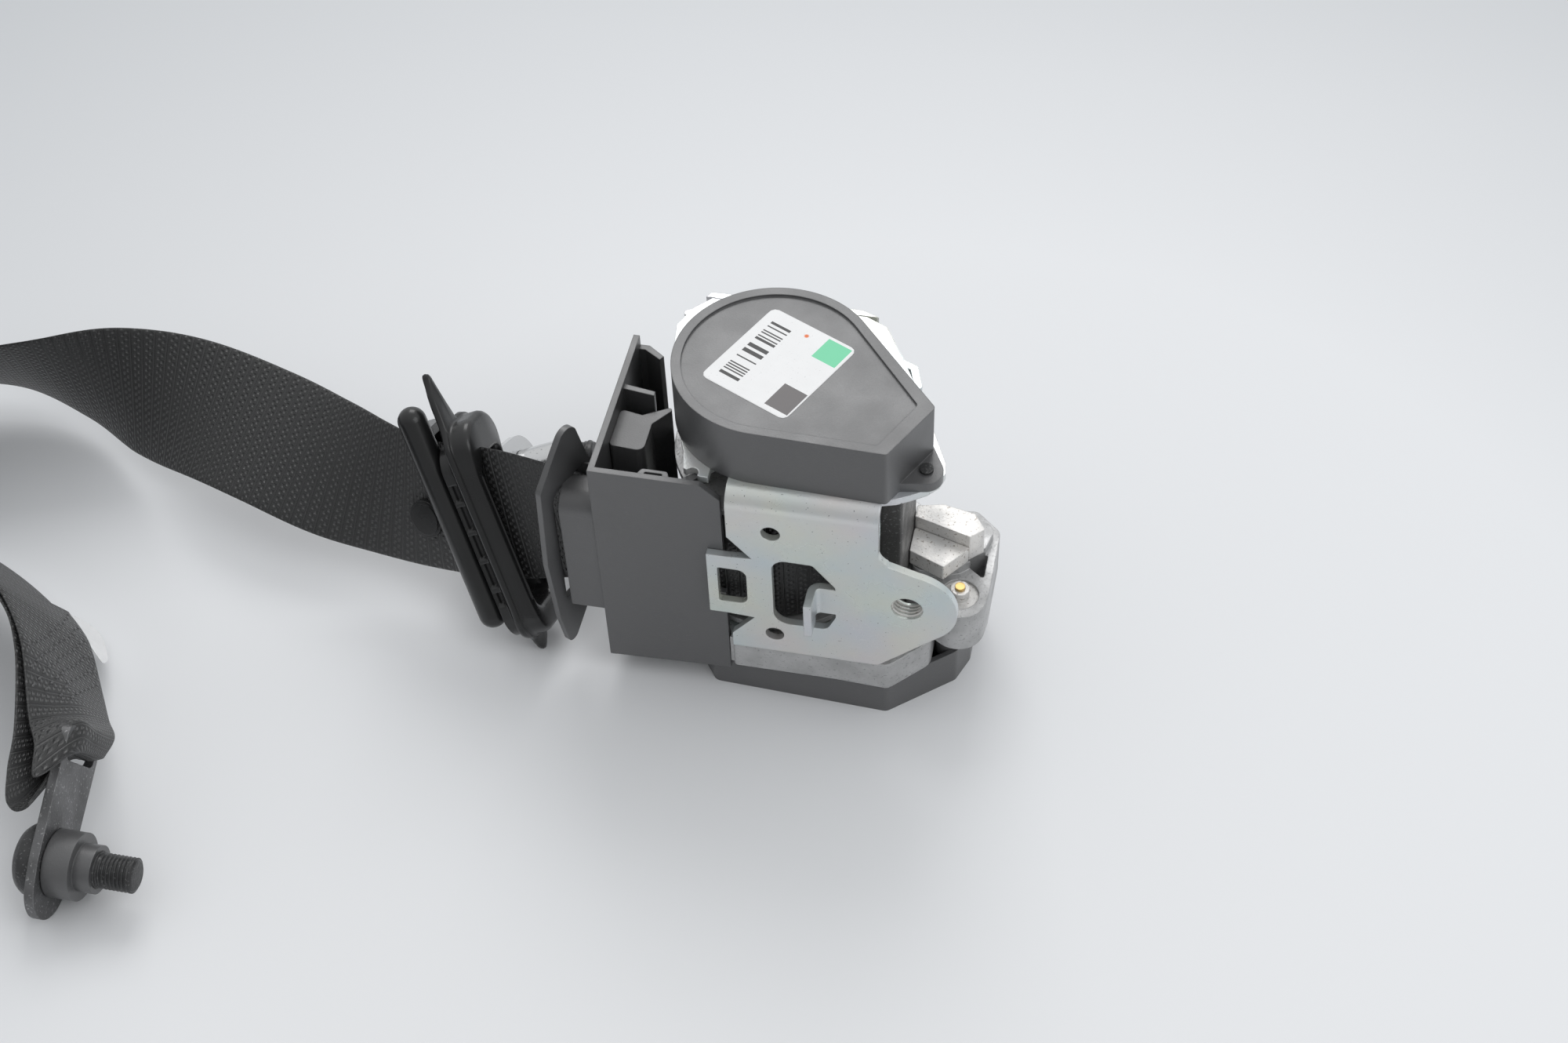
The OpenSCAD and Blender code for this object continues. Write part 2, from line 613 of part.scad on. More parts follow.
// Cup with the ball that feels the vehicle's braking
module sensor_cup() color("ivory") translate([sensor_at[0], sensor_at[1], lower_wall]) {
    difference() {
        block([-8, -7, 0], [9, 7, 4.5]);
        translate([0, 0, 0.6]) cylinder(r = ball_r + 1.6, h = 10);
    }
    for (y = [-6.5, 5]) difference() {
        block([6.5, y, 4], [9, y + 1.5, 11]);
        translate([7.75, y - 1, 9.6]) rotate([-90, 0, 0]) cylinder(r = 0.8 + fit, h = 4);
    }
}

module sensor_ball() color("silver") translate([sensor_at[0], sensor_at[1],
    lower_wall + 0.8 + ball_r]) sphere(r = ball_r);

module sensor_lever() color("white") translate([sensor_at[0], sensor_at[1], lower_wall]) {
    translate([7.75, -6.4, 9.6]) rotate([-90, 0, 0]) cylinder(r = 0.8, h = 12.8);
    block([-6, -3.5, 9.1], [8.2, 3.5, 10.1]);
    block([-6, -1.5, 9.5], [-4.5, 1.5, 11.2]);
}

// Guide and outlet

module webbing_guide() color("#3a3a3c") {
    front = -(plate_in - 0.1);
    left = -guide_left;
    // Front wall with its chamfered corner
    upright(front, guide_wall) difference() {
        polygon([[left, guide_z], [-10.5, guide_z + 2], [-10.5, guide_top - 5.5],
            [-16.5, guide_top], [left, guide_top]]);
        round_outline([[-11.6, 50, 0.8], [-7, 50, 0.8], [-7, 63, 0.8], [-11.6, 63, 0.8]]);
    }
    // Left wall with the outlet's opening
    difference() {
        block([left, front, guide_z], [left + guide_wall, guide_back, guide_top]);
        block([left - 1, front + guide_wall + 1.2, outlet_lo], [left + 5, outlet_back,
            outlet_hi]);
    }
    // Rear wall, slanted behind the spool
    translate([0, 0, guide_z]) linear_extrude(guide_top - guide_z - 4)
        polygon([[left, guide_back - guide_wall], [left, guide_back], [left + 5, guide_back],
            [-40.5, 20.5], [-41.5, 19], [left + 4, guide_back - guide_wall]]);
    // Floor web that carries the insert
    block([left + 1, front + 1, guide_z], [left + 14, guide_back - 1, guide_z + guide_wall]);
    // Ribs seen in the open top
    translate([0, 0, guide_top - 30]) linear_extrude(28)
        polygon([[left + 1, 3], [left + 12, 1.5], [left + 12, 3.2], [left + 1, 5]]);
    translate([0, 0, guide_top - 14]) linear_extrude(11.7)
        polygon([[-25.5, -32.6], [-18.8, -26.8], [-17, -28.2], [-22, -32.6]]);
    // Diagonal rib's hook and the small slotted frame on the front wall
    translate([0, 0, guide_top - 12]) linear_extrude(11) difference() {
        round_outline([[-35, -31.6, 1], [-27.5, -31.6, 1], [-28, -30.6, 1], [-34.5, -30.6, 1]]);
        round_outline([[-33.6, -31.2, 0.5], [-29, -31.2, 0.5]]);
    }
}
outlet_lo = web_lo - 1.5;
outlet_hi = web_hi + 1.5;
outlet_back = -17;

// Quarter-round guard in the guide's corner and the smooth lip that the webbing runs on
module guide_insert() color("#2b2b2d") {
    left = -guide_left + guide_wall + 0.05;
    translate([0, 0, guide_z + guide_wall]) {
        linear_extrude(guide_top - guide_z - 8) {
            round_outline([[left + 1.5, -16, 1.5], [left + 8.5, -15.5, 2.5],
                [left + 9.5, -5.5, 1.5], [left + 1.5, -4, 1.5]]);
            round_outline([[left + 9, -6, 2], [-34, 0, 0.8], [left + 8, -4, 0.8]]);
        }
    }
}

module webbing_outlet() color("#3d3d3f") {
    left = -guide_left;
    front = -(plate_in - 0.1) + 0.6;
    wall = 1.6;
    difference() {
        union() {
            translate([left - outlet_l, 0, 0]) rotate([90, 0, 90]) linear_extrude(outlet_l)
                round_outline([[front + 1, outlet_lo - wall + 2, 1],
                    [outlet_back + wall - 1, outlet_lo - wall + 2, 1],
                    [outlet_back + wall - 2, outlet_hi + wall - 4, 2],
                    [front + 6, outlet_hi + wall - 8, 6]]);
            // Leaf-shaped fin round the mouth
            translate([left - outlet_l - 1, -24, web_z]) rotate([90, 0, 67])
                linear_extrude(fin_t) round_outline([[-11, -3, 3], [-9, -30, 3],
                    [-7, -44, 2.5], [1, -33, 3], [8, 0, 4], [7, 24, 4], [2.5, 40, 4.5],
                    [-9, 28, 3.5]]);
        }
        translate([left - outlet_l - 12, 0, 0]) rotate([90, 0, 90]) linear_extrude(40)
            round_outline([[front + 3, outlet_lo + 1, 1], [outlet_back - 1, outlet_lo + 1, 1],
                [outlet_back - 1, outlet_hi - 1, 1], [front + 6, outlet_hi - 5, 4]]);
    }
}

// Webbing and what is sewn or clamped to it

module webbing() color("#1f1f21") strip(fine(ROUTE), web_t);

module anchor_frame() translate(anchor_at) rotate([anchor_lean, 0, 0]) children();

// Sewn fold of the webbing round the anchor's bar
module end_loop() color("#232325") strip(fine(TAIL), web_t);

// Film label, sewn in between the two layers at the webbing's lower edge
module care_tag() color("white") translate([-229.0, -69.7, 34.2]) rotate([114.6, 4.3, -41.1])
    translate([0, -web_w / 2, 0]) linear_extrude(0.4, center = true) difference() {
        translate([0, tag_l / 2 - tag_h]) circle(r = tag_l / 2);
        translate([-tag_l, -0.4]) square(2 * tag_l);
    }
tag_l = 28;
tag_h = 10;

// Stop button halves, clamped through the webbing
module at_button() translate([-116.7, -8.3, 34.8]) rotate([-22, -14, -17]) children();
module button_half(side) rotate([90, 0, 0]) mirror([0, 0, side]) {
    translate([0, 0, web_t / 2 + 0.75]) cylinder(r = button_r, h = 1.6);
    translate([0, 0, web_t / 2 + 2.35]) cylinder(r = button_r - 1, h = 0.6);
}
module stop_button_front() color("#303032") at_button() button_half(0);
module stop_button_back() color("#303032") at_button() button_half(1);

// Pillar loop: x across the flange, y away from the webbing's face, z along the slot

module loop_frame() translate(loop_at) rotate(loop_turn) rotate([0, 0, loop_twist]) children();

// A flat shape in y and z, given a thickness along x
module across(x, t) translate([x, 0, 0]) rotate([90, 0, 90]) linear_extrude(t) children();

module loop_window(extra) round_outline([
    [-loop_slot / 2 + 5.5, -loop_slot_l / 2 + 5 + loop_foot, 5 + extra],
    [loop_slot / 2 - 4.5, -loop_slot_l / 2 + 5 + loop_foot, 5 + extra],
    [loop_slot / 2 - 4.5, loop_slot_l / 2 - 5 + loop_foot, 5 + extra],
    [-loop_slot / 2 + 5.5, loop_slot_l / 2 - 5 + loop_foot, 5 + extra]]);

module loop_cover() color("#2c2c2e") loop_frame() difference() {
    union() {
        across(0, loop_t) round_outline([[1, -loop_l / 2 + 2.5, 2.5],
            [8, -30, 8], [8, 26, 8], [0, loop_l / 2 - 2.5, 2.5], [-5, 24, 6], [-5, -34, 6]]);
        across(-lip_near, lip_near + 1) loop_window(3.5);
        across(loop_t - 1, lip_far + 1) loop_window(3.9);
    }
    across(-40, 80) loop_window(0);
    // Pockets along the lip's front
    for (k = [0 : 4]) translate([-3.6, -loop_slot / 2 - 4, -36 + 11.4 * k])
        cube([2.4, 2.2, 8 - 0.8 * k]);
    // Notch that holds the steel plate
    translate([-1, loop_notch, -15]) cube([loop_t + 2, 20, 30]);
}
loop_notch = 13;

// Steel core of the loop, with the bolt's hole
module loop_plate() color("silver") loop_frame() difference() {
    across(0, loop_t) round_outline([[loop_notch + 2.05, -12.9, 2],
        [loop_arm, 0, 13.5], [loop_notch + 2.05, 12.9, 2]]);
    across(-20, 40) translate([loop_arm, 0]) circle(r = hole_r);
}

module loop_bolt() color("#3a3b3d") loop_frame() translate([0, loop_arm, 0])
    rotate([0, 90, 0]) difference() {
        union() {
            translate([0, 0, -gap - 5]) cylinder(r = 10, h = 5);
            translate([0, 0, -gap - 1]) cylinder(r = shank_r, h = shank_l + gap + 1);
            translate([0, 0, shank_l]) cylinder(r = 8, h = 1.6);
            translate([0, 0, shank_l + 1]) cylinder(r = thread_r, h = 9.6);
            translate([0, 0, shank_l + 10]) cylinder(r = thread_r - 1, h = 2);
        }
        translate([0, 0, -gap - 6]) cylinder(r = 4, h = 4.5);
    }
shank_l = loop_t + 2 * gap + sleeve_l;

module loop_sleeve() color("silver") loop_frame() translate([loop_t + gap, loop_arm, 0])
    rotate([0, 90, 0]) tube(sleeve_r, hole_r, sleeve_l);

// Tongue: a rounded grip moulded over a steel blade

module tongue_frame() loop_frame() translate(tongue_at) children();

module tongue_grip() color("#29292b") tongue_frame() difference() {
    union() {
        cylinder(r = grip_r, h = grip_l - 2 * grip_r, center = true);
        for (s = [-1, 1]) translate([0, 0, s * (grip_l / 2 - grip_r)]) sphere(r = grip_r);
        // Frame round the webbing's slot
        across(-2.6, 5.2) round_outline([[2, -26, 2], [15, -25, 3], [15, 27, 3], [2, 28, 2]]);
        across(-3.4, 6.8) round_outline([[13.4, -23, 2.4], [13.4, 25, 2.4]]);
    }
    across(-8, 16) round_outline([[5.8, -23.8, 1.3], [9.7, -23.8, 1.3], [9.7, 25.7, 1.3],
        [5.8, 25.7, 1.3]]);
    across(-blade_t / 2, blade_t) translate([blade_root, -blade_w / 2]) square([20, blade_w]);
}
blade_t = 2.4;
blade_w = 40;
blade_root = 11;

module tongue_plate() color("silver") tongue_frame() difference() {
    across(-blade_t / 2, blade_t) {
        round_outline([[blade_root + 2, -18, 2], [17, -18, 2], [17, 18, 2],
            [blade_root + 2, 18, 2]]);
        round_outline([[19, -6, 5], [9 + blade_l, -6, 5], [9 + blade_l, 6, 5], [19, 6, 5]]);
    }
    across(-5, 10) round_outline([[blade_l - 2, -4.5, 2], [blade_l + 6, -4.5, 2],
        [blade_l + 6, 4.5, 2], [blade_l - 2, 4.5, 2]]);
}

// End anchor: x along the bolt, y towards the webbing

module anchor_plate() color("#77797b") anchor_frame() difference() {
    translate([-anchor_t / 2, 0, 0]) rotate([90, 0, 90]) linear_extrude(anchor_t)
        round_outline([[0, 0, anchor_r], [-6.2, 0, 11.3], [anchor_arm + 4.5, -9, 3.5],
            [anchor_arm + 4.5, 9, 3.5]]);
    translate([-10, 0, 0]) rotate([90, 0, 90]) linear_extrude(20) round_outline([
        [anchor_arm, -pleat_w / 2 + 1.5, 2.6], [anchor_arm, pleat_w / 2 - 1.5, 2.6]]);
    translate([-10, 0, 0]) rotate([0, 90, 0]) cylinder(r = hole_r, h = 20);
}

module anchor_bolt() color("#2f3032") anchor_frame() rotate([0, 90, 0]) difference() {
    union() {
        translate([0, 0, -anchor_t / 2 - gap - 4.5]) cylinder(r = head_r, h = 4.5);
        translate([0, 0, -anchor_t / 2 - gap - 7.5]) cylinder(r = head_r - 2, h = 3);
        translate([0, 0, -anchor_t / 2 - gap - 1]) cylinder(r = shank_r, h = 19);
        translate([0, 0, 16]) cylinder(r = thread_r, h = 1 + thread_l);
    }
    translate([0, 0, -anchor_t / 2 - gap - 8.5]) for (a = [0 : 60 : 300]) rotate(a)
        translate([3, 0, 0]) cylinder(r = 1.1, h = 5);
    translate([0, 0, -anchor_t / 2 - gap - 8.5]) cylinder(r = 3.2, h = 5);
}

module anchor_collar() color("#1c1c1e") anchor_frame() rotate([0, 90, 0])
    translate([0, 0, anchor_t / 2 + gap]) difference() {
        union() {
            cylinder(r = 10.5, h = 8.5);
            cylinder(r = 7.5, h = 14);
        }
        translate([0, 0, -1]) cylinder(r = hole_r, h = 20);
    }

frame();
tie_plate();
spring_cover();
cover_pins();
spring_plate();
rewind_spring();
spool_bushes();
pretensioner_housing();
tower_block();
wedge_block_upper();
wedge_block_lower();
gas_generator();
contact_pin();
lower_cover();
cover_screws();
pawl_pin();
sensor_cup();
webbing_guide();
guide_insert();
webbing_outlet();
webbing();
end_loop();
care_tag();
stop_button_front();
stop_button_back();
spool();
webbing_roll();
torsion_bar();
spring_arbor();
drive_pinion();
ratchet_wheel();
lock_pawl();
sensor_lever();
sensor_ball();
piston_rack();
loop_plate();
loop_cover();
loop_bolt();
loop_sleeve();
tongue_plate();
tongue_grip();
anchor_plate();
anchor_bolt();
anchor_collar();
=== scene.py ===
"""Front seat belt lying on a table: retractor, webbing, pillar loop, tongue and end anchor."""

import json
import math

import bpy
import numpy as np
from mathutils import Matrix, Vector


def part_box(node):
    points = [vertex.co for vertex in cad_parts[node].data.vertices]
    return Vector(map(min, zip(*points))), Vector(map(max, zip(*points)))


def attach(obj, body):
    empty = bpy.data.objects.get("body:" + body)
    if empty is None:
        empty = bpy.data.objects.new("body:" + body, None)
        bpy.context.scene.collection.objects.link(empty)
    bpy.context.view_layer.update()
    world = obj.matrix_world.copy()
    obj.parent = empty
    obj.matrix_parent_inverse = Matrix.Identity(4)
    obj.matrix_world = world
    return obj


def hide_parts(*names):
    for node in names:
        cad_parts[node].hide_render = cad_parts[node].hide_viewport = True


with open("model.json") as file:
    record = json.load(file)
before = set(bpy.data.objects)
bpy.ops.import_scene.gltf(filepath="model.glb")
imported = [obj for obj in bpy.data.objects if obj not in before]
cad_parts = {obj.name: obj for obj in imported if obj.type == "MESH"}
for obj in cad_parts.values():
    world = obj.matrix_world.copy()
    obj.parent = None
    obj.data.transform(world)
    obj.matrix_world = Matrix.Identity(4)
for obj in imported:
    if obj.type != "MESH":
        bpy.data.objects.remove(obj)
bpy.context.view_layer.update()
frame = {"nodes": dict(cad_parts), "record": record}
MM = 0.001

# Sizes of the webbing in metres, and the height of the spring cover's sunk face
WEB_WIDTH = 0.047
WEB_THICK = 0.0012
COVER_FACE_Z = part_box("spring_cover")[1].z - 0.0008
# Steps in each span of a route
ROUTE_STEPS = 16

# Middle line of the webbing, in mm: x, y, z, lean in degrees
ROUTE = [
    [2, -30, 57, 0], [-14, -29.7, 57, 0], [-32, -26.5, 57, 0], [-49, -22.5, 57, 0],
    [-63, -20, 56, 4], [-78, -16.8, 52, 12], [-95, -12.2, 45.6, 19], [-109, -8.6, 40.8, 20],
    [-122, -5.2, 38, 22], [-138, -0.4, 36.8, 30], [-158, 6, 36.4, 45], [-182.5, 15.4, 36.2, 55],
    [-210.5, 25.2, 34.6, 49], [-238, 31.6, 31.7, 25], [-263.5, 34.8, 30.6, -7],
    [-290, 33.8, 32.1, -29], [-314, 23.9, 33.2, -35], [-328, 5.2, 33.3, -25],
    [-324, -16.2, 32.9, -2], [-304, -33.4, 33, 21], [-277, -45.4, 33.9, 32],
    [-249, -57.7, 34.7, 28], [-227.5, -72.5, 33.5, 24], [-216, -89, 31, 20],
]
# The sewn layer that comes back from the anchor
TAIL = [[-237, -63, 34.8, 27], [-226.4, -71.4, 34.1, 24], [-214.3, -88, 31.7, 20]]
# Both layers gather in the anchor's slot. Each row runs across the strap, edge to edge
ROUTE_FOLD = [
    [[-205, -96, 13], [-206, -101.5, 22], [-208, -108, 31.5], [-209.5, -115.5, 41],
     [-211, -121.5, 48.5]],
    [[-201.5, -106, 16], [-203, -112, 23.5], [-205, -120, 32], [-206, -130.5, 40.5],
     [-208, -136, 45]],
    [[-200.8, -112, 20], [-202, -116, 25.5], [-203.5, -127, 31.5], [-204, -139.5, 38],
     [-205, -145, 41.5]],
    [[-200.2, -113, 21.3], [-200.8, -115.3, 25.2], [-201.8, -121.5, 29], [-201.8, -135, 33.5],
     [-202, -142, 36]],
    [[-198.4, -113.4, 21.6], [-198.4, -115.2, 25.3], [-198.4, -117, 29.3],
     [-198.4, -118.8, 33.2], [-198.4, -120.5, 36.8]],
]
TAIL_FOLD = [
    [[-201.5, -93, 13.5], [-202, -97.5, 22], [-203, -103, 31], [-205.5, -110.5, 40],
     [-208.5, -117.5, 48]],
    [[-195.5, -101, 17], [-195.2, -104.5, 23], [-195.4, -108, 30], [-197.5, -112, 39.5],
     [-203.5, -126, 46]],
    [[-194.2, -109.5, 20], [-194, -112, 25], [-194.2, -114.5, 30.5], [-195, -119.5, 38.5],
     [-200, -136, 43.5]],
    [[-194.6, -111.5, 20.8], [-194.4, -113.5, 25], [-194.5, -116, 30], [-194.8, -119, 35],
     [-195.8, -124, 40]],
    [[-197.4, -113.4, 21.6], [-197.4, -115.2, 25.3], [-197.4, -117, 29.3],
     [-197.4, -118.8, 33.2], [-197.4, -120.5, 36.8]],
]


def axes_of(x, y, z, spin=0.0):
    """Three rows, the local axes after a spin about Z and then turns about X, Y and Z."""
    turns = [Matrix.Rotation(math.radians(angle), 3, name)
             for angle, name in ((z, "Z"), (y, "Y"), (x, "X"), (spin, "Z"))]
    return np.array(turns[0] @ turns[1] @ turns[2] @ turns[3]).T


LOOP_AXES = axes_of(-30, -19, 15, -6)
LOOP_AT = np.array([-95.6, -10.8, 43.2])
ANCHOR_AXES = axes_of(27, 0, 0)
ANCHOR_AT = np.array([-198.0, -146.6, 14.3])
TAG_AXES = axes_of(114.6, 4.3, -41.1)
TAG_AT = np.array([-229.0, -69.7, 34.2])


def settled(local, axes, at):
    """Local millimetres along three axes, moved into the shared frame, in metres."""
    return (local @ axes + at) * MM


# Camera, at the photograph's viewing angle

CAMERA_AT = (0.11517, -0.48289, 0.61652)
CAMERA_RIGHT = (0.9795, 0.1996, -0.0273)
CAMERA_DOWN = (0.1331, -0.7428, -0.6561)
CAMERA_FORWARD = (-0.1512, 0.639, -0.7542)
LENS_MM = 54.0


def add_camera():
    """A camera whose axes are the three directions above, with a 36 mm wide sensor."""
    data = bpy.data.cameras.new("camera")
    data.lens = LENS_MM
    data.sensor_width = 36.0
    data.clip_start = 0.01
    camera = bpy.data.objects.new("camera", data)
    turn = Matrix((CAMERA_RIGHT, [-v for v in CAMERA_DOWN], [-v for v in CAMERA_FORWARD]))
    camera.matrix_world = Matrix.Translation(CAMERA_AT) @ turn.transposed().to_4x4()
    bpy.context.scene.collection.objects.link(camera)
    bpy.context.scene.camera = camera


add_camera()


# Node helpers

class Nodes:
    """Adds nodes to one tree and links them as they are made."""

    def __init__(self, tree):
        self.tree = tree

    def give(self, socket, value):
        """Links a socket to this input, or sets the input's own value."""
        if isinstance(value, bpy.types.NodeSocket):
            self.tree.links.new(value, socket)
        else:
            socket.default_value = value

    def add(self, kind, inputs=None, **settings):
        """A node with its settings, and values or sockets for its inputs by name or number."""
        node = self.tree.nodes.new(kind)
        for key, value in settings.items():
            setattr(node, key, value)
        for key, value in (inputs or {}).items():
            self.give(node.inputs[key], value)
        return node

    def place(self):
        """Coordinates of the object itself, in metres."""
        return self.add("ShaderNodeTexCoord").outputs["Object"]

    def math(self, operation, a, b=0.0):
        """One number from one or two."""
        return self.add("ShaderNodeMath", {0: a, 1: b}, operation=operation).outputs[0]

    def vector(self, operation, a, b):
        """A vector from two, or a number where the operation gives one."""
        node = self.add("ShaderNodeVectorMath", {0: a, 1: b}, operation=operation)
        return node.outputs["Value" if operation in ("DOT_PRODUCT", "DISTANCE") else "Vector"]

    def mix(self, factor, a, b):
        """A colour mixed from a to b."""
        return self.add("ShaderNodeMix", {0: factor, 6: a, 7: b}, data_type="RGBA").outputs[2]

    def laid(self, mask, share, base, colour):
        """A colour laid over the base where the mask is, by this share."""
        return self.mix(self.math("MULTIPLY", mask, share), base, colour)

    def spread(self, value, low, high, to_low=0.0, to_high=1.0):
        """The value moved from one range to another, and held inside it."""
        node = self.add("ShaderNodeMapRange", {0: value, 1: low, 2: high, 3: to_low, 4: to_high})
        return node.outputs[0]

    def noise(self, vector, scale, detail=3.0):
        """Cloudy noise between 0 and 1."""
        node = self.add("ShaderNodeTexNoise", {
            "Vector": vector, "Scale": scale, "Detail": detail, "Roughness": 0.5})
        return node.outputs["Fac"]


def group(name, inputs, outputs):
    """A new shader node group with float inputs by name and default, and typed outputs."""
    tree = bpy.data.node_groups.new(name, "ShaderNodeTree")
    for label, default in inputs.items():
        socket = tree.interface.new_socket(
            name=label, in_out="INPUT", socket_type="NodeSocketFloat")
        socket.default_value = default
    for label, kind in outputs.items():
        tree.interface.new_socket(name=label, in_out="OUTPUT", socket_type=kind)
    nodes = Nodes(tree)
    return nodes, nodes.add("NodeGroupInput").outputs, nodes.add("NodeGroupOutput").inputs


FLOAT = "NodeSocketFloat"
VECTOR = "NodeSocketVector"


def edge_wear_group():
    """Where a rounded normal departs from the true one there is an edge; noise breaks it up."""
    nodes, given, out = group(
        "edge wear", {"Radius": 0.0004, "Patches": 300.0}, {"Mask": FLOAT, "Normal": VECTOR})
    bevel = nodes.add("ShaderNodeBevel", {"Radius": given["Radius"]}, samples=6)
    face = nodes.add("ShaderNodeNewGeometry").outputs["Normal"]
    dot = nodes.vector("DOT_PRODUCT", bevel.outputs[0], face)
    place = nodes.place()
    patches = nodes.spread(nodes.noise(place, given["Patches"]), 0.35, 0.65)
    edge = nodes.spread(dot, 0.99, 0.8)
    nodes.tree.links.new(nodes.math("MULTIPLY", edge, patches), out["Mask"])
    nodes.tree.links.new(bevel.outputs[0], out["Normal"])
    return nodes.tree


def grain_group():
    """Fine rounded bumps from cells, with a slower noise that makes them uneven."""
    nodes, given, out = group("grain", {"Scale": 2500.0}, {"Height": FLOAT})
    place = nodes.place()
    cells = nodes.add("ShaderNodeTexVoronoi", {"Vector": place, "Scale": given["Scale"]},
                      feature="SMOOTH_F1").outputs["Distance"]
    slow = nodes.noise(place, nodes.math("DIVIDE", given["Scale"], 4.0))
    nodes.tree.links.new(nodes.math("ADD", cells, slow), out["Height"])
    return nodes.tree


def blotch_group():
    """Soft patches of one size, with a sharper speck mask of a smaller size."""
    nodes, given, out = group(
        "blotches", {"Scale": 60.0, "Speck Scale": 900.0, "Specks": 0.72},
        {"Mask": FLOAT, "Specks": FLOAT})
    place = nodes.place()
    soft = nodes.spread(nodes.noise(place, given["Scale"], 4.0), 0.35, 0.65)
    fine = nodes.noise(place, given["Speck Scale"], 2.0)
    low = nodes.math("SUBTRACT", given["Specks"], 0.03)
    specks = nodes.spread(fine, low, given["Specks"])
    nodes.tree.links.new(soft, out["Mask"])
    nodes.tree.links.new(specks, out["Specks"])
    return nodes.tree


def scratch_group():
    """Thin streaks: noise stretched along X, cut to its narrow crests."""
    nodes, given, out = group("scratches", {"Scale": 60.0, "Turn": 0.6}, {"Mask": FLOAT})
    place = nodes.place()
    turned = nodes.add("ShaderNodeVectorRotate", {"Vector": place, "Angle": given["Turn"]},
                       rotation_type="AXIS_ANGLE").outputs[0]
    long = nodes.vector("MULTIPLY", turned, (0.12, 1.0, 1.0))
    lines = nodes.noise(long, nodes.math("MULTIPLY", given["Scale"], 8.0), 2.0)
    where = nodes.spread(nodes.noise(place, given["Scale"]), 0.5, 0.7)
    near = nodes.math("ABSOLUTE", nodes.math("SUBTRACT", lines, 0.5))
    thin = nodes.spread(near, 0.008, 0.0)
    nodes.tree.links.new(nodes.math("MULTIPLY", thin, where), out["Mask"])
    return nodes.tree


def weave_group():
    """Woven rows across the strap: along u (metres) a thin ridge and a row of stitches take
    turns; along v the stitches repeat, and every other row is shifted by half a stitch."""
    nodes, given, out = group(
        "weave", {"Row": 0.0042, "Stitch": 0.0024}, {"Height": FLOAT, "Shade": FLOAT})
    uv = nodes.add("ShaderNodeUVMap", uv_map="cloth").outputs[0]
    part = nodes.add("ShaderNodeSeparateXYZ", {0: uv}).outputs
    ridge_at, first_at, second_at = 0.08, 0.38, 0.7
    rows = nodes.math("DIVIDE", part["X"], given["Row"])
    phase = nodes.math("FRACT", rows)
    # Two rows of stitches in each period, the second half a stitch along
    half = nodes.math("GREATER_THAN", phase, 0.55)
    shift = nodes.math("MULTIPLY", half, 0.5)
    along = nodes.math("ADD", nodes.math("DIVIDE", part["Y"], given["Stitch"]), shift)
    wave = nodes.math("SINE", nodes.math("MULTIPLY", along, 2.0 * math.pi))
    bump = nodes.spread(wave, -0.35, 0.9)

    def line(at, outer, inner):
        """A line across the strap at one phase: 0 from the outer distance on, 1 at the inner."""
        away = nodes.math("ABSOLUTE", nodes.math("SUBTRACT", phase, at))
        return nodes.spread(away, outer, inner)

    band = nodes.math("MAXIMUM", line(first_at, 0.15, 0.03), line(second_at, 0.15, 0.03))
    sewn = nodes.math("MULTIPLY", band, bump)
    ridge = line(ridge_at, 0.075, 0.0)
    height = nodes.math("MAXIMUM", sewn, nodes.math("MULTIPLY", ridge, 0.6))
    fuzz = nodes.noise(uv, 2500.0, 2.0)
    height = nodes.math("ADD", height, nodes.math("MULTIPLY", fuzz, 0.35))
    nodes.tree.links.new(height, out["Height"])
    # Shade is the height again: it paints highlight on the crests and shade in the gaps, and also
    # sets the roughness
    nodes.tree.links.new(nodes.spread(height, 0.1, 1.0), out["Shade"])
    return nodes.tree


EDGE_WEAR = edge_wear_group()
GRAIN = grain_group()
BLOTCHES = blotch_group()
SCRATCHES = scratch_group()
WEAVE = weave_group()


# Materials

def material(name):
    """A new material with its nodes helper and its Principled shader."""
    made = bpy.data.materials.new(name)
    made.use_nodes = True
    nodes = Nodes(made.node_tree)
    shader = made.node_tree.nodes["Principled BSDF"]
    return made, nodes, shader


def use(nodes, tree, **values):
    """One of the shared effects, with its own values."""
    node = nodes.add("ShaderNodeGroup", node_tree=tree)
    plug(nodes, node, **values)
    return node.outputs


def plug(nodes, node, **sockets):
    """Gives a node its inputs, with underscores for the spaces in their names."""
    for label, value in sockets.items():
        nodes.give(node.inputs[label.replace("_", " ")], value)


def bumped(nodes, height, depth, normal=None):
    """A bump of this depth in metres over the given normal."""
    inputs = {"Height": height, "Distance": depth, "Strength": 1.0}
    if normal is not None:
        inputs["Normal"] = normal
    return nodes.add("ShaderNodeBump", inputs).outputs[0]


def grey(value, tint=(1.0, 1.0, 1.0)):
    """An opaque colour of one brightness, times a tint."""
    return (value * tint[0], value * tint[1], value * tint[2], 1.0)


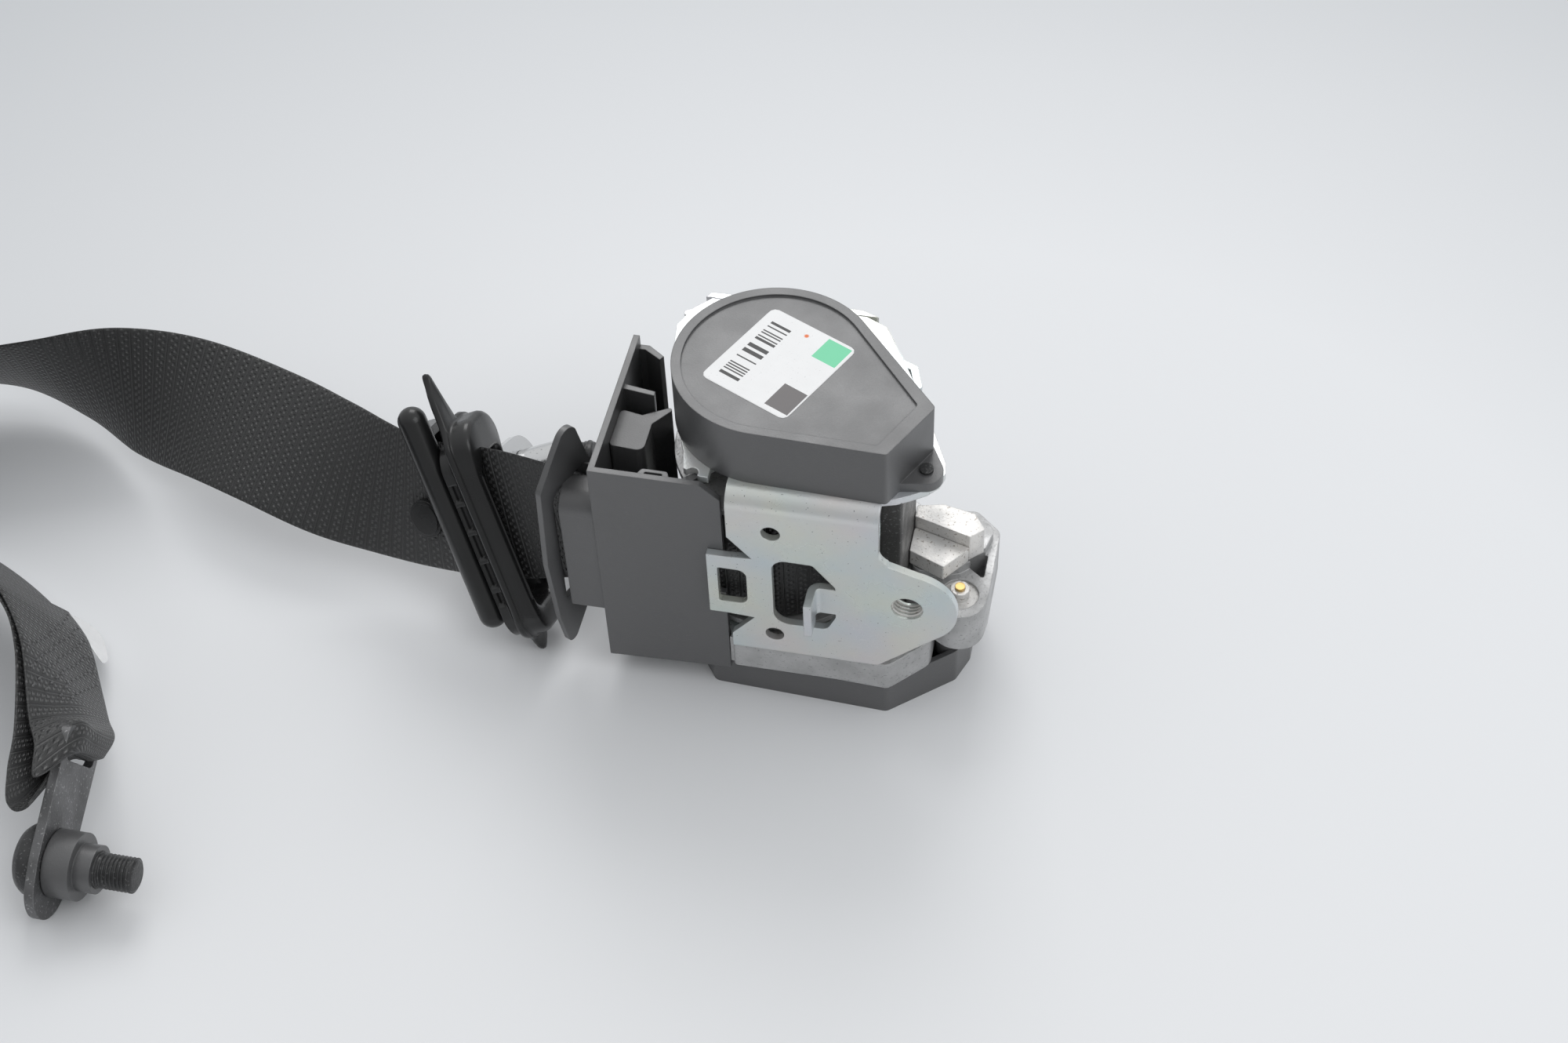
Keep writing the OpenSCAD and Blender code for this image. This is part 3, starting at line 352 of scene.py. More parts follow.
def moulded_plastic(name, tone, roughness, grain=0.00004, scale=2600.0, wear=0.5,
                    shine=0.9, coat=0.35, coat_roughness=0.3):
    """Moulded plastic with a fine grain, scuffed pale at the edges."""
    made, nodes, shader = material(name)
    edge = use(nodes, EDGE_WEAR, Radius=0.0005, Patches=260.0)
    scuffs = use(nodes, SCRATCHES, Scale=45.0)
    spots = use(nodes, BLOTCHES, Scale=70.0, Speck_Scale=1500.0, Specks=0.74)
    pale = nodes.laid(edge["Mask"], wear,
                      grey(tone, (1.0, 1.0, 1.03)), grey(min(1.0, tone * 3.2)))
    pale = nodes.laid(scuffs["Mask"], 0.25, pale, grey(tone * 2.6 + 0.02))
    pale = nodes.laid(spots["Mask"], 0.3, pale, grey(tone * 1.35 + 0.004))
    rough = nodes.spread(spots["Mask"], 0.0, 1.0, roughness - 0.05, roughness + 0.06)
    fine = use(nodes, GRAIN, Scale=scale)
    plug(nodes, shader, Base_Color=pale, Roughness=rough, Specular_IOR_Level=shine,
         Coat_Weight=coat, Coat_Roughness=coat_roughness,
         Normal=bumped(nodes, fine["Height"], grain, edge["Normal"]))
    return made


def zinc_steel(name, tone=0.7, colour=0.8, roughness=0.3, metallic=0.62,
               tint=(0.86, 1.0, 1.02)):
    """Zinc plate: blue-grey with pale yellow and pink drifts, dark pits and bare bright edges."""
    made, nodes, shader = material(name)
    edge = use(nodes, EDGE_WEAR, Radius=0.0005, Patches=200.0)
    spots = use(nodes, BLOTCHES, Scale=38.0, Speck_Scale=1300.0, Specks=0.73)
    drift = use(nodes, BLOTCHES, Scale=24.0, Speck_Scale=400.0, Specks=0.7)
    scuffs = use(nodes, SCRATCHES, Scale=50.0)
    base = nodes.laid(spots["Mask"], colour,
                      grey(tone, tint), grey(tone, (1.04, 1.05, 0.9)))
    base = nodes.laid(drift["Mask"], colour * 0.6, base,
                     grey(tone, (1.04, 0.88, 0.98)))
    base = nodes.laid(edge["Mask"], 0.7, base, grey(0.8))
    base = nodes.laid(spots["Specks"], 0.75, base, grey(0.1))
    base = nodes.laid(scuffs["Mask"], 0.5, base, grey(0.85))
    rough = nodes.spread(drift["Mask"], 0.0, 1.0, roughness - 0.05, roughness + 0.09)
    fine = use(nodes, GRAIN, Scale=1800.0)
    plug(nodes, shader, Base_Color=base, Roughness=rough, Metallic=metallic,
         Normal=bumped(nodes, fine["Height"], 0.00003, edge["Normal"]))
    return made


def rough_metal(name, tone, tint, roughness, metallic, stain, grain=0.00008, scale=1500.0):
    """Cast, phosphated or bare steel: an uneven, lightly stained grey with worn edges."""
    made, nodes, shader = material(name)
    edge = use(nodes, EDGE_WEAR, Radius=0.0005, Patches=350.0)
    spots = use(nodes, BLOTCHES, Scale=110.0, Speck_Scale=1100.0, Specks=0.66)
    base = nodes.laid(spots["Mask"], 0.6, grey(tone, tint), grey(tone * 0.7))
    base = nodes.laid(spots["Specks"], 0.6, base, stain)
    base = nodes.laid(edge["Mask"], 0.6, base,
                     grey(min(0.9, tone * 2.0 + 0.05)))
    rough = nodes.spread(spots["Mask"], 0.0, 1.0, roughness - 0.08, roughness + 0.1)
    fine = use(nodes, GRAIN, Scale=scale)
    plug(nodes, shader, Base_Color=base, Roughness=rough, Metallic=metallic,
         Normal=bumped(nodes, fine["Height"], grain, edge["Normal"]))
    return made


def woven(name, dark, light, depth, painted_light_share=0.55):
    """Polyester weave with a soft sheen: pale crests over dark gaps, which are painted highlight
    and painted shade.
    """
    made, nodes, shader = material(name)
    cloth = use(nodes, WEAVE)
    spots = use(nodes, BLOTCHES, Scale=30.0, Speck_Scale=1900.0, Specks=0.76)
    # Painted light: the crests are painted pale as highlight and the gaps dark as shade
    base = nodes.laid(cloth["Shade"], painted_light_share, grey(dark), grey(light))
    base = nodes.laid(spots["Specks"], 0.3, base, grey(0.3))
    rough = nodes.spread(cloth["Shade"], 0.0, 1.0, 0.5, 0.34)
    plug(nodes, shader, Base_Color=base, Roughness=rough, Sheen_Weight=0.12,
         Sheen_Roughness=0.4, Specular_IOR_Level=0.7,
         Normal=bumped(nodes, cloth["Height"], depth))
    return made


def film(name):
    """Thin translucent film with faint creases."""
    made, nodes, shader = material(name)
    spots = use(nodes, BLOTCHES, Scale=120.0, Speck_Scale=900.0, Specks=0.8)
    base = nodes.laid(spots["Mask"], 0.3, grey(0.78), grey(0.62))
    plug(nodes, shader, Base_Color=base, Roughness=0.35, Transmission_Weight=0.35,
         Normal=bumped(nodes, spots["Mask"], 0.0002))
    return made


# Corner, sides and size of the label on the spring cover, in metres
LABEL_AT = np.array([-0.0206, -0.0095, 0.0])
LABEL_U = np.array([0.443, 0.897, 0.0])
LABEL_V = np.array([0.899, -0.438, 0.0])
LABEL_SIZE = np.array([0.0357, 0.0315])
# Its marks, as left, right, low and high along the two sides
BARS = (0.0045, 0.0322, 0.0035, 0.0108)
BAR_STEP = 0.00052
MINT_SQUARE = (0.0258, 0.0348, 0.0220, 0.0306)
GREY_SQUARE = (0.0021, 0.0122, 0.0226, 0.0310)
SPOT_AT = LABEL_U * 0.0316 + LABEL_V * 0.0156


def label_paper(name):
    """White paper with a ladder of bars, a mint and a grey square and an orange spot, each
    placed by its distances along the label's two sides."""
    made, nodes, shader = material(name)
    place = nodes.place()
    start = nodes.vector("SUBTRACT", place, tuple(LABEL_AT))
    u, v = [nodes.vector("DOT_PRODUCT", start, tuple(side)) for side in (LABEL_U, LABEL_V)]

    def between(value, low, high):
        """1 where the value lies in the range."""
        return nodes.math("MULTIPLY", nodes.math("GREATER_THAN", value, low),
                          nodes.math("LESS_THAN", value, high))

    def patch(left, right, low, high):
        """1 inside a rectangle on the label."""
        return nodes.math("MULTIPLY", between(u, left, right), between(v, low, high))

    step = nodes.math("FLOOR", nodes.math("DIVIDE", u, BAR_STEP))
    chance = nodes.add("ShaderNodeTexWhiteNoise", {"W": step}, noise_dimensions="1D").outputs[0]
    bars = nodes.math("MULTIPLY", nodes.math("GREATER_THAN", chance, 0.48),
                      patch(*BARS))
    dirt = use(nodes, BLOTCHES, Scale=180.0, Speck_Scale=2200.0, Specks=0.72)
    base = nodes.laid(dirt["Mask"], 0.12, grey(0.8), grey(0.62))
    base = nodes.laid(dirt["Specks"], 0.35, base, grey(0.3))
    base = nodes.mix(bars, base, grey(0.035))
    base = nodes.mix(patch(*MINT_SQUARE), base, (0.16, 0.62, 0.36, 1.0))
    base = nodes.mix(patch(*GREY_SQUARE), base, (0.13, 0.12, 0.12, 1.0))
    flat = nodes.vector("MULTIPLY", start, (1.0, 1.0, 0.0))
    spot = nodes.vector("DISTANCE", flat, tuple(SPOT_AT))
    base = nodes.mix(nodes.spread(spot, 0.0009, 0.0005), base, (0.75, 0.16, 0.03, 1.0))
    plug(nodes, shader, Base_Color=base, Roughness=0.42, Specular_IOR_Level=0.4,
         Normal=bumped(nodes, dirt["Mask"], 0.00003))
    return made


def brass(name):
    """Brass with duller patches and rounded edges."""
    made, nodes, shader = material(name)
    edge = use(nodes, EDGE_WEAR, Radius=0.0003, Patches=500.0)
    spots = use(nodes, BLOTCHES, Scale=300.0, Speck_Scale=1600.0, Specks=0.7)
    base = nodes.laid(spots["Mask"], 0.5, (0.60, 0.42, 0.17, 1.0),
                     (0.38, 0.27, 0.12, 1.0))
    plug(nodes, shader, Base_Color=base, Metallic=1.0, Roughness=0.35, Normal=edge["Normal"])
    return made


FINISHES = {
    "zinc_steel": zinc_steel("zinc plate"),
    "dark_zinc": rough_metal("dull zinc plate", 0.16, (1.0, 1.0, 1.02), 0.42, 0.75, grey(0.4)),
    "dark_steel": rough_metal("phosphated steel", 0.05, (1.0, 1.0, 1.02), 0.36, 0.4, grey(0.16)),
    "bare_steel": rough_metal("bare steel", 0.82, (1.03, 1.0, 0.96), 0.42, 0.3,
                              (0.2, 0.15, 0.11, 1.0)),
    "spring_steel": rough_metal("spring steel", 0.3, (0.9, 0.96, 1.1), 0.3, 0.9, grey(0.1)),
    "chrome_steel": zinc_steel("bright plate", 0.62, 0.1, 0.16, 0.9, (0.99, 1.0, 1.0)),
    "die_cast": rough_metal("die-cast alloy", 0.5, (1.0, 1.0, 1.0), 0.48, 0.55, grey(0.25),
                            0.00012, 1100.0),
    "worn_steel": rough_metal("worn dark steel", 0.11, (1.03, 1.0, 0.97), 0.45, 0.3, grey(0.3)),
    "brass": brass("brass"),
    "black_plastic": moulded_plastic("grained dark plastic", 0.062, 0.44),
    "smooth_plastic": moulded_plastic("satin black plastic", 0.010, 0.3, 0.000008, 3200.0, 0.3,
                                      0.4, 0.25, 0.12),
    "natural_plastic": moulded_plastic("uncoloured plastic", 0.6, 0.5, 0.00002, 2600.0, 0.1),
    "webbing_fabric": woven("black webbing", 0.012, 0.06, 0.0004),
    "tag_fabric": film("label film"),
    "label_paper": label_paper("label paper"),
    "sewing_thread": moulded_plastic("sewing thread", 0.05, 0.45, 0.00002, 4000.0, 0.2),
}
# Nodes whose look departs from the rest of their slot
OWN_FINISH = {"tower_block": "worn_steel"}
for row in frame["record"]["subparts"]:
    node = frame["nodes"][row["node"]]
    node.data.materials.clear()
    node.data.materials.append(FINISHES[OWN_FINISH.get(row["node"], row["material_slot"])])


# Mesh helpers

def add_mesh(name, corners, faces):
    """A smoothly shaded mesh, linked to the scene."""
    mesh = bpy.data.meshes.new(name)
    mesh.from_pydata(corners, [], faces)
    mesh.polygons.foreach_set("use_smooth", np.ones(len(mesh.polygons), dtype=bool))
    mesh.update()
    made = bpy.data.objects.new(name, mesh)
    bpy.context.scene.collection.objects.link(made)
    return made


def surface(name, points, uv=None, close_rows=False, close_columns=False, caps=False):
    """A mesh of four-sided faces over an array of points, rows by columns by three. A closed
    direction joins its last line of points to its first. Caps close the first and last row of
    a section whose second half runs back beside its first."""
    rows, columns = points.shape[:2]
    index = np.arange(rows * columns).reshape(rows, columns)
    if close_rows:
        index = np.vstack([index, index[:1]])
    if close_columns:
        index = np.hstack([index, index[:, :1]])
    quads = np.stack([index[:-1, :-1], index[1:, :-1], index[1:, 1:], index[:-1, 1:]], axis=-1)
    quads = quads.reshape(-1, 4)
    if caps:
        go = np.arange(columns // 2 - 1)
        back = columns - 1 - go
        first = np.stack([go, go + 1, back - 1, back], axis=-1)
        last = first[:, ::-1] + (rows - 1) * columns
        quads = np.vstack([quads, first, last])
    made = add_mesh(name, points.reshape(-1, 3).tolist(), quads.tolist())
    if uv is not None:
        u, v = uv
        if close_rows:
            u, v = np.vstack([u, u[:1]]), np.vstack([v, v[:1]])
        if close_columns:
            u, v = np.hstack([u, u[:, :1]]), np.hstack([v, v[:, -1:]])
        flat = np.stack([u, v], axis=-1)
        corners = np.stack([flat[:-1, :-1], flat[1:, :-1], flat[1:, 1:], flat[:-1, 1:]], axis=2)
        corners = corners.reshape(-1, 2)
        rest = np.zeros((len(made.data.loops) - len(corners), 2))
        layer = made.data.uv_layers.new(name="cloth")
        layer.data.foreach_set("uv", np.vstack([corners, rest]).reshape(-1).astype(np.float32))
    return made


def ringed(name, points, finish, body, replaced=None):
    """A closed skin over rings. The points go round first and along second, and the first and
    the last ring each shrink to the one point at their middle."""
    around, along = points.shape[:2]
    index = np.arange(around * (along - 2)).reshape(around, along - 2)
    ahead = np.roll(index, -1, axis=0)
    quads = np.stack([index[:, :-1], ahead[:, :-1], ahead[:, 1:], index[:, 1:]], axis=-1)
    start = np.stack([ahead[:, 0], index[:, 0], np.full(around, index.size)], axis=-1)
    end = np.stack([index[:, -1], ahead[:, -1], np.full(around, index.size + 1)], axis=-1)
    corners = np.vstack([points[:, 1:-1].reshape(-1, 3), points[:, 0].mean(axis=0),
                         points[:, -1].mean(axis=0)])
    faces = quads.reshape(-1, 4).tolist() + start.tolist() + end.tolist()
    made = add_mesh(name, corners.tolist(), faces)
    dress(made, finish, body, replaced)
    return made


def dress(made, finish, body, replaced=None):
    """Gives a piece its finish, the body that it rides on and the node that it stands for."""
    made.data.materials.append(FINISHES[finish])
    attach(made, body)
    if replaced:
        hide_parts(replaced)


def softened(corners, radius, steps=5):
    """A line of points whose inner corners are cut by arcs, drawn as curves of the second
    degree that leave each corner no further than the radius or half of the shorter side."""
    corners = np.array(corners, float)
    t = np.linspace(0.0, 1.0, steps)[:, None]
    line = [corners[:1]]
    for before, corner, after in zip(corners[:-2], corners[1:-1], corners[2:]):
        back, on = before - corner, after - corner
        reach = min(radius, 0.45 * np.linalg.norm(back), 0.45 * np.linalg.norm(on))
        a = corner + back / np.linalg.norm(back) * reach
        b = corner + on / np.linalg.norm(on) * reach
        line.append((1 - t) ** 2 * a + 2 * t * (1 - t) * corner + t ** 2 * b)
    return np.vstack(line + [corners[-1:]])


def along_route(stations):
    """Points between the stations by the Catmull-Rom formula, each span cut into equal steps."""
    given = np.array(stations, float)
    padded = np.vstack([given[:1], given, given[-1:]])
    t = (np.arange(ROUTE_STEPS) / ROUTE_STEPS)[:, None]
    spans = [0.5 * (2 * b + (c - a) * t + (2 * a - 5 * b + 4 * c - d) * t ** 2
                    + (3 * b - a - 3 * c + d) * t ** 3)
             for a, b, c, d in zip(padded[:-3], padded[1:-2], padded[2:-1], padded[3:])]
    return np.vstack(spans + [given[-1:]])


def lengths(points):
    """Distance travelled along a line of points."""
    steps = np.linalg.norm(np.diff(points, axis=0), axis=1)
    return np.concatenate([[0.0], np.cumsum(steps)])


def rounded_rectangle(low, high, radius, count):
    """Evenly spaced points and outward normals round a rectangle with quarter-circle corners,
    anticlockwise from its right side."""
    corners = [(high[0] - radius, high[1] - radius), (low[0] + radius, high[1] - radius),
               (low[0] + radius, low[1] + radius), (high[0] - radius, low[1] + radius)]
    angle = np.linspace(0, math.pi / 2, 13)
    out = np.vstack([np.stack([np.cos(angle + k * math.pi / 2), np.sin(angle + k * math.pi / 2)],
                              axis=-1) for k in range(4)])
    line = np.repeat(np.array(corners), 13, axis=0) + out * radius
    line, out = np.vstack([line, line[:1]]), np.vstack([out, out[:1]])
    gone = lengths(line)
    at = np.linspace(0, gone[-1], count, endpoint=False)
    points = np.stack([np.interp(at, gone, line[:, k]) for k in (0, 1)], axis=-1)
    normals = np.stack([np.interp(at, gone, out[:, k]) for k in (0, 1)], axis=-1)
    return points, normals / np.linalg.norm(normals, axis=1)[:, None]


def strap_widths(route):
    """Direction across the strap at every point: the vertical, less its part along the heading,
    then leant round the heading by the given angle."""
    heading = np.gradient(route[:, :3], axis=0)
    heading /= np.linalg.norm(heading, axis=1)[:, None]
    up = np.array([0.0, 0.0, 1.0]) - heading[:, 2:3] * heading
    up /= np.linalg.norm(up, axis=1)[:, None]
    lean = np.radians(route[:, 3:4])
    return np.cos(lean) * up + np.sin(lean) * np.cross(heading, up)


def strap_section(across):
    """Places across a strap from -1 to 1 and back, and its half thickness at each in metres,
    which falls to nothing at both edges."""
    side = np.sin(np.linspace(-0.5, 0.5, across) * math.pi)
    turn = np.concatenate([side, side[::-1]])
    top = np.concatenate([np.ones(across), -np.ones(across)])
    # The high power keeps the middle flat and rounds only the edges
    return turn, top * np.sqrt(np.clip(1 - np.abs(turn) ** 24, 0.0, 1.0)) * WEB_THICK / 2


def folded(rows, turn):
    """Rows of points across a strap, drawn out to all its places across by the same formula
    as a route."""
    rows = np.array(rows, float)
    count, given = rows.shape[:2]
    fine = along_route(rows.transpose(1, 0, 2).reshape(given, -1))
    at = np.linspace(-1.0, 1.0, len(fine))
    spread = np.stack([np.interp(turn, at, line) for line in fine.T], axis=-1)
    return spread.reshape(len(turn), count, 3).transpose(1, 0, 2)


def strap(name, stations, fold, body, replaced):
    """Flat webbing: a thin oval section, round at its two edges, is carried along the route and
    then through the rows of its fold. Returns the piece, its middle skin, the skin's normals
    and its length."""
    across = 40
    route = along_route(stations)
    turn, thick = strap_section(across)
    middle = (route[:, None, :3] + strap_widths(route)[:, None]
              * (turn * WEB_WIDTH / MM / 2)[None, :, None])
    # The fold starts from the last stations, so that the two parts join without a kink
    last = [-2 * ROUTE_STEPS - 1, -ROUTE_STEPS - 1, -1]
    rows = np.concatenate([middle[last], folded(fold, turn)])
    joined = along_route(rows.reshape(len(rows), -1)).reshape(-1, len(turn), 3)
    middle = np.concatenate([middle[:last[1]], joined[ROUTE_STEPS:]])
    half = middle[:, :across]
    normal = np.cross(np.gradient(half, axis=1), np.gradient(half, axis=0))
    normal /= np.linalg.norm(normal, axis=2)[..., None]
    normal = np.concatenate([normal, normal[:, ::-1]], axis=1)
    points = middle * MM + normal * thick[None, :, None]
    gone = lengths(middle[:, across // 2]) * MM
    u = np.repeat(gone[:, None], 2 * across, axis=1)
    v = np.repeat((turn * WEB_WIDTH / 2)[None, :], len(middle), axis=0)
    made = surface(name, points, (u, v), close_columns=True, caps=True)
    dress(made, "webbing_fabric", body, replaced)
    return made, half * MM, normal[:, :across], float(gone[-1])


# Webbing

webbing, _, _, WEB_LENGTH = strap("free_webbing", ROUTE, ROUTE_FOLD, "retractor", "webbing")
tail, TAIL_SKIN, TAIL_NORMALS, TAIL_LENGTH = strap(
    "sewn_end_loop", TAIL, TAIL_FOLD, "retractor", "end_loop")


def stitches():
    """Rows of sewing on the returned layer: each stitch is an ellipsoid that lies along a slanted
    line over the skin, half sunk in it."""
    gone = lengths(TAIL_SKIN[:, TAIL_SKIN.shape[1] // 2])
    place = np.linspace(-1.0, 1.0, TAIL_SKIN.shape[1])
    rings, sides = 7, 8
    lobe = np.linspace(0.0, math.pi, rings)[:, None]
    ring = np.linspace(0.0, 2 * math.pi, sides + 1)[:-1]
    half_axes = np.array([1.15, 0.42, 0.36]) * MM
    shape = np.stack([np.broadcast_to(np.cos(lobe), (rings, sides)),
                      np.sin(lobe) * np.cos(ring), np.sin(lobe) * np.sin(ring)],
                     axis=-1) * half_axes
    index = np.arange(rings * sides).reshape(rings, sides)
    ahead = np.roll(index, -1, axis=1)
    quads = np.stack([index[:-1], index[1:], ahead[1:], ahead[:-1]], axis=-1).reshape(-1, 4)
    sewn_length, per_row, reach_across = 0.047, 13, 0.86
    corners, faces = [], []
    for row in range(6):
        for step in range(per_row):
            along = 0.003 + 0.0055 * row + 0.0026 * step
            side = -reach_across + 2 * reach_across * step / (per_row - 1)
            if along > sewn_length:
                continue
            i = int(np.clip(np.searchsorted(gone, along), 1, len(gone) - 2))
            j = int(np.argmin(np.abs(np.sin(place * math.pi / 2) - side)))
            out = TAIL_NORMALS[i, j]
            over = TAIL_SKIN[i, min(j + 2, len(place) - 1)] - TAIL_SKIN[i, j - 2]
            run = over / np.linalg.norm(over) + 0.8 * (
                TAIL_SKIN[i + 1, j] - TAIL_SKIN[i - 1, j]) / (gone[i + 1] - gone[i - 1])
            run -= out * (run @ out)
            run /= np.linalg.norm(run)
            at = TAIL_SKIN[i, j] + out * (WEB_THICK / 2 + 0.0001)
            faces += (quads + len(corners)).tolist()
            laid = at + shape @ np.stack([run, np.cross(out, run), out])
            corners += laid.reshape(-1, 3).tolist()
    dress(add_mesh("stitching", corners, faces), "sewing_thread", "retractor")


stitches()


def wound_webbing():
    """The strap on the spool: a spiral whose radius falls by the same step in each turn."""
    turns, steps_per_turn = 12.4, 80
    outer_radius, layer_step, mid_height = 0.0284, 0.0013, 0.057
    angle = np.linspace(0.0, turns * 2 * math.pi, int(turns * steps_per_turn))
    radius = outer_radius - layer_step * angle / (2 * math.pi)
    way = angle - math.radians(86.0)
    out = np.stack([np.cos(way), np.sin(way), np.zeros_like(way)], axis=-1)
    turn, thick = strap_section(14)
    points = out[:, None] * (radius[:, None] + thick)[..., None]
    points[..., 2] = mid_height - turn * WEB_WIDTH / 2
    gone = lengths(out * radius[:, None])
    u = np.repeat(gone[:, None], len(turn), axis=1)
    v = np.repeat((turn * WEB_WIDTH / 2)[None, :], len(angle), axis=0)
    made = surface("wound_webbing", points, (u, v), close_columns=True, caps=True)
    dress(made, "webbing_fabric", "spool_set", "webbing_roll")


wound_webbing()


# Pillar loop

def reach(start, way, circles):
    """How far each start is, along its way, from the line of a band stretched round circles,
    which are given by their centres and radii. A way that never meets the band gives 0."""
    turns = np.linspace(0.0, 2 * math.pi, 721)
    out = np.stack([np.cos(turns), np.sin(turns)], axis=-1)
    circles = np.array(circles, float)
    best = (circles[:, :2] @ out.T + circles[:, 2:]).argmax(axis=0)
    band = circles[best, :2] + circles[best, 2:] * out
    edge = (band[1:] - band[:-1])[None]
    gap = band[None, :-1] - start[:, None]
    way = way[:, None]
    cross = way[..., 0] * edge[..., 1] - way[..., 1] * edge[..., 0]
    cross = np.where(np.abs(cross) < 1e-12, 1e-12, cross)
    far = (gap[..., 0] * edge[..., 1] - gap[..., 1] * edge[..., 0]) / cross
    share = (gap[..., 0] * way[..., 1] - gap[..., 1] * way[..., 0]) / cross
    return np.where((share > -1e-6) & (share < 1 + 1e-6) & (far > 0), far, 0.0).max(axis=1)


def smoothed(values, beside):
    """A running mean round a closed line, over this many values on either side."""
    return np.mean([np.roll(values, k) for k in range(-beside, beside + 1)], axis=0)


# Outlines across the loop's slot in mm, each a band round circles: y, z, radius. The near lip is
# on the tongue's side, the far lip on the retractor's. The rim follows the outermost of five bands
LOOP_NEAR = [[-3, -33, 8.6], [4.2, -33, 8.6], [4.2, 18.5, 8.6], [-3, 18.5, 8.6]]
LOOP_FAR = [[-3, -33.8, 8.9], [4, -33.8, 8.9], [4, 24, 8.9], [-3, 24, 8.9]]
LOOP_RIM = [
    [[4.9, -34, 8], [4.9, 26, 8], [-6.4, 26, 6], [-6.4, -34, 6]],
    [[-6, 24, 6], [-3.4, 38, 3.4]], [[-3.4, 38, 3.4], [-2.5, 48.6, 2.1]],
    [[0, -36, 9], [1, -42, 5]], [[1, -42, 5], [2, -48.6, 2.1]],
]


def pillar_loop_cover():
    """The moulded loop: a closed section carried round the slot. Its places are ways along the
    webbing and distances out from the slot's wall; lips, rim and slot are four outlines."""
    wall, out = rounded_rectangle((-8, -33), (9, 19.5), 5, 420)
    near = reach(wall, out, LOOP_NEAR)
    far = reach(wall, out, LOOP_FAR)
    rim = np.max([reach(wall, out, circles) for circles in LOOP_RIM], axis=0)
    rim = np.maximum(smoothed(rim, 2), np.maximum(near, far) + 0.9)
    # Pockets in the front of the near lip
    pockets_from, pocket_step, pocket_depth = -32.0, 10.3, 3.0
    front = out[:, 0] < -0.999
    place = (wall[:, 1] - pockets_from) / pocket_step
    inside = front & (place > 0) & (place % 1.0 < 0.84) & (place < 4.9)
    pocket = np.where(inside, pocket_depth, 0.0)
    # The far lip is 1 mm deeper at the slot's upper end; the rim bows to the tongue at both ends
    lift = np.clip(out[:, 1], 0.0, 1.0) ** 2
    bow = -1.9 * np.clip((np.abs(wall[:, 1] + out[:, 1] * rim) - 30) / 18, 0.0, 1.0) ** 1.4
    nought = np.zeros_like(near)
    steps = [
        (1.0, nought), (-2.4, nought), (-3.4, nought + 0.2), (-4.0, nought + 0.8),
        (-4.2, nought + 1.6), (-4.2, near - 1.3), (-3.95, near - 0.5), (-3.7, near - 0.15),
        (-3.55, near), (-3.45, near - pocket), (-2.0, near - pocket), (-0.75, near - pocket),
        (-0.65, near), (-0.3, near + 0.1), (-0.05, near + 0.45), (0.0, near + 0.8),
        (0.0 + bow * 0.4, 0.5 * (near + rim)), (0.1 + bow, rim - 1.0), (0.45 + bow, rim - 0.3),
        (1.3 + bow, rim), (2.15 + bow, rim - 0.3), (2.5 + bow, rim - 1.0),
        (2.6 + bow * 0.4, 0.5 * (far + rim)), (2.6, far + 0.8), (2.7, far + 0.4),
        (3.1, far + 0.08), (3.8, far), (6.2 + lift, far), (7.3 + lift, far - 0.35),
        (8.1 + lift, far - 1.1), (8.5 + lift, far - 2.1), (8.6 + lift, nought + 1.9),
        (8.3 + lift, nought + 1.0), (7.5, nought + 0.3), (6.0, nought), (3.5, nought),
    ]
    local = np.stack([np.stack([np.broadcast_to(x, near.shape), wall[:, 0] + out[:, 0] * far_out,
                                wall[:, 1] + out[:, 1] * far_out], axis=-1)
                      for x, far_out in steps], axis=1)
    made = surface("loop_moulding", settled(local, LOOP_AXES, LOOP_AT), close_rows=True,
                   close_columns=True)
    dress(made, "smooth_plastic", "pillar_loop", "loop_cover")


# Care tag

def care_tag():
    """A film cut as a slice of a circle, its straight side sewn in and its round side curled.
    Rings of the slice shrink to its middle on both faces."""
    circle, centre_y, half_thick = 14, 4, 0.16
    arc = np.linspace(math.radians(-18.3), math.radians(-161.7), 41)
    rim = np.stack([circle * np.cos(arc), centre_y + circle * np.sin(arc)], axis=-1)
    chord = np.linspace(rim[-1], rim[0], 22)[1:-1]
    rim = np.vstack([rim, chord])[::-1]
    middle = np.array([0.0, -4.6])
    share = np.array([0.0, 0.15, 0.35, 0.55, 0.75, 0.9, 0.97, 1.0, 1.0, 0.97, 0.9, 0.75, 0.55,
                      0.35, 0.15, 0.0])
    side = np.array([1.0] * 7 + [0.5, -0.5] + [-1.0] * 7) * half_thick
    flat = middle + (rim - middle)[:, None] * share[:, None]
    curl = 1.1 * np.sin(flat[..., 0] / 5.0) * (flat[..., 1] / 10) ** 2 - 0.018 * flat[..., 1] ** 2
    local = np.stack([flat[..., 0], flat[..., 1] - WEB_WIDTH / MM / 2, side + curl], axis=-1)
    made = ringed("care_tag_film", settled(local, TAG_AXES, TAG_AT), "tag_fabric", "retractor",
                  "care_tag")


care_tag()


# Bolts and threads, in mm

THREAD_PITCH = 1.27
THREAD_DEPTH = 0.75
THREAD_RADIUS = 5.5
SCREW_SIDES = 96
# The recess lies within this many first points of a softened profile
RECESS_POINTS = 16


def thread_depth(along, angle):
    """How far a screw thread cuts in: a sawtooth of the way along less the share of a turn."""
    phase = (along / THREAD_PITCH - angle / (2 * math.pi)) % 1.0
    return THREAD_DEPTH * np.clip(np.abs(2 * phase - 1) * 1.25 - 0.12, 0.0, 1.0)


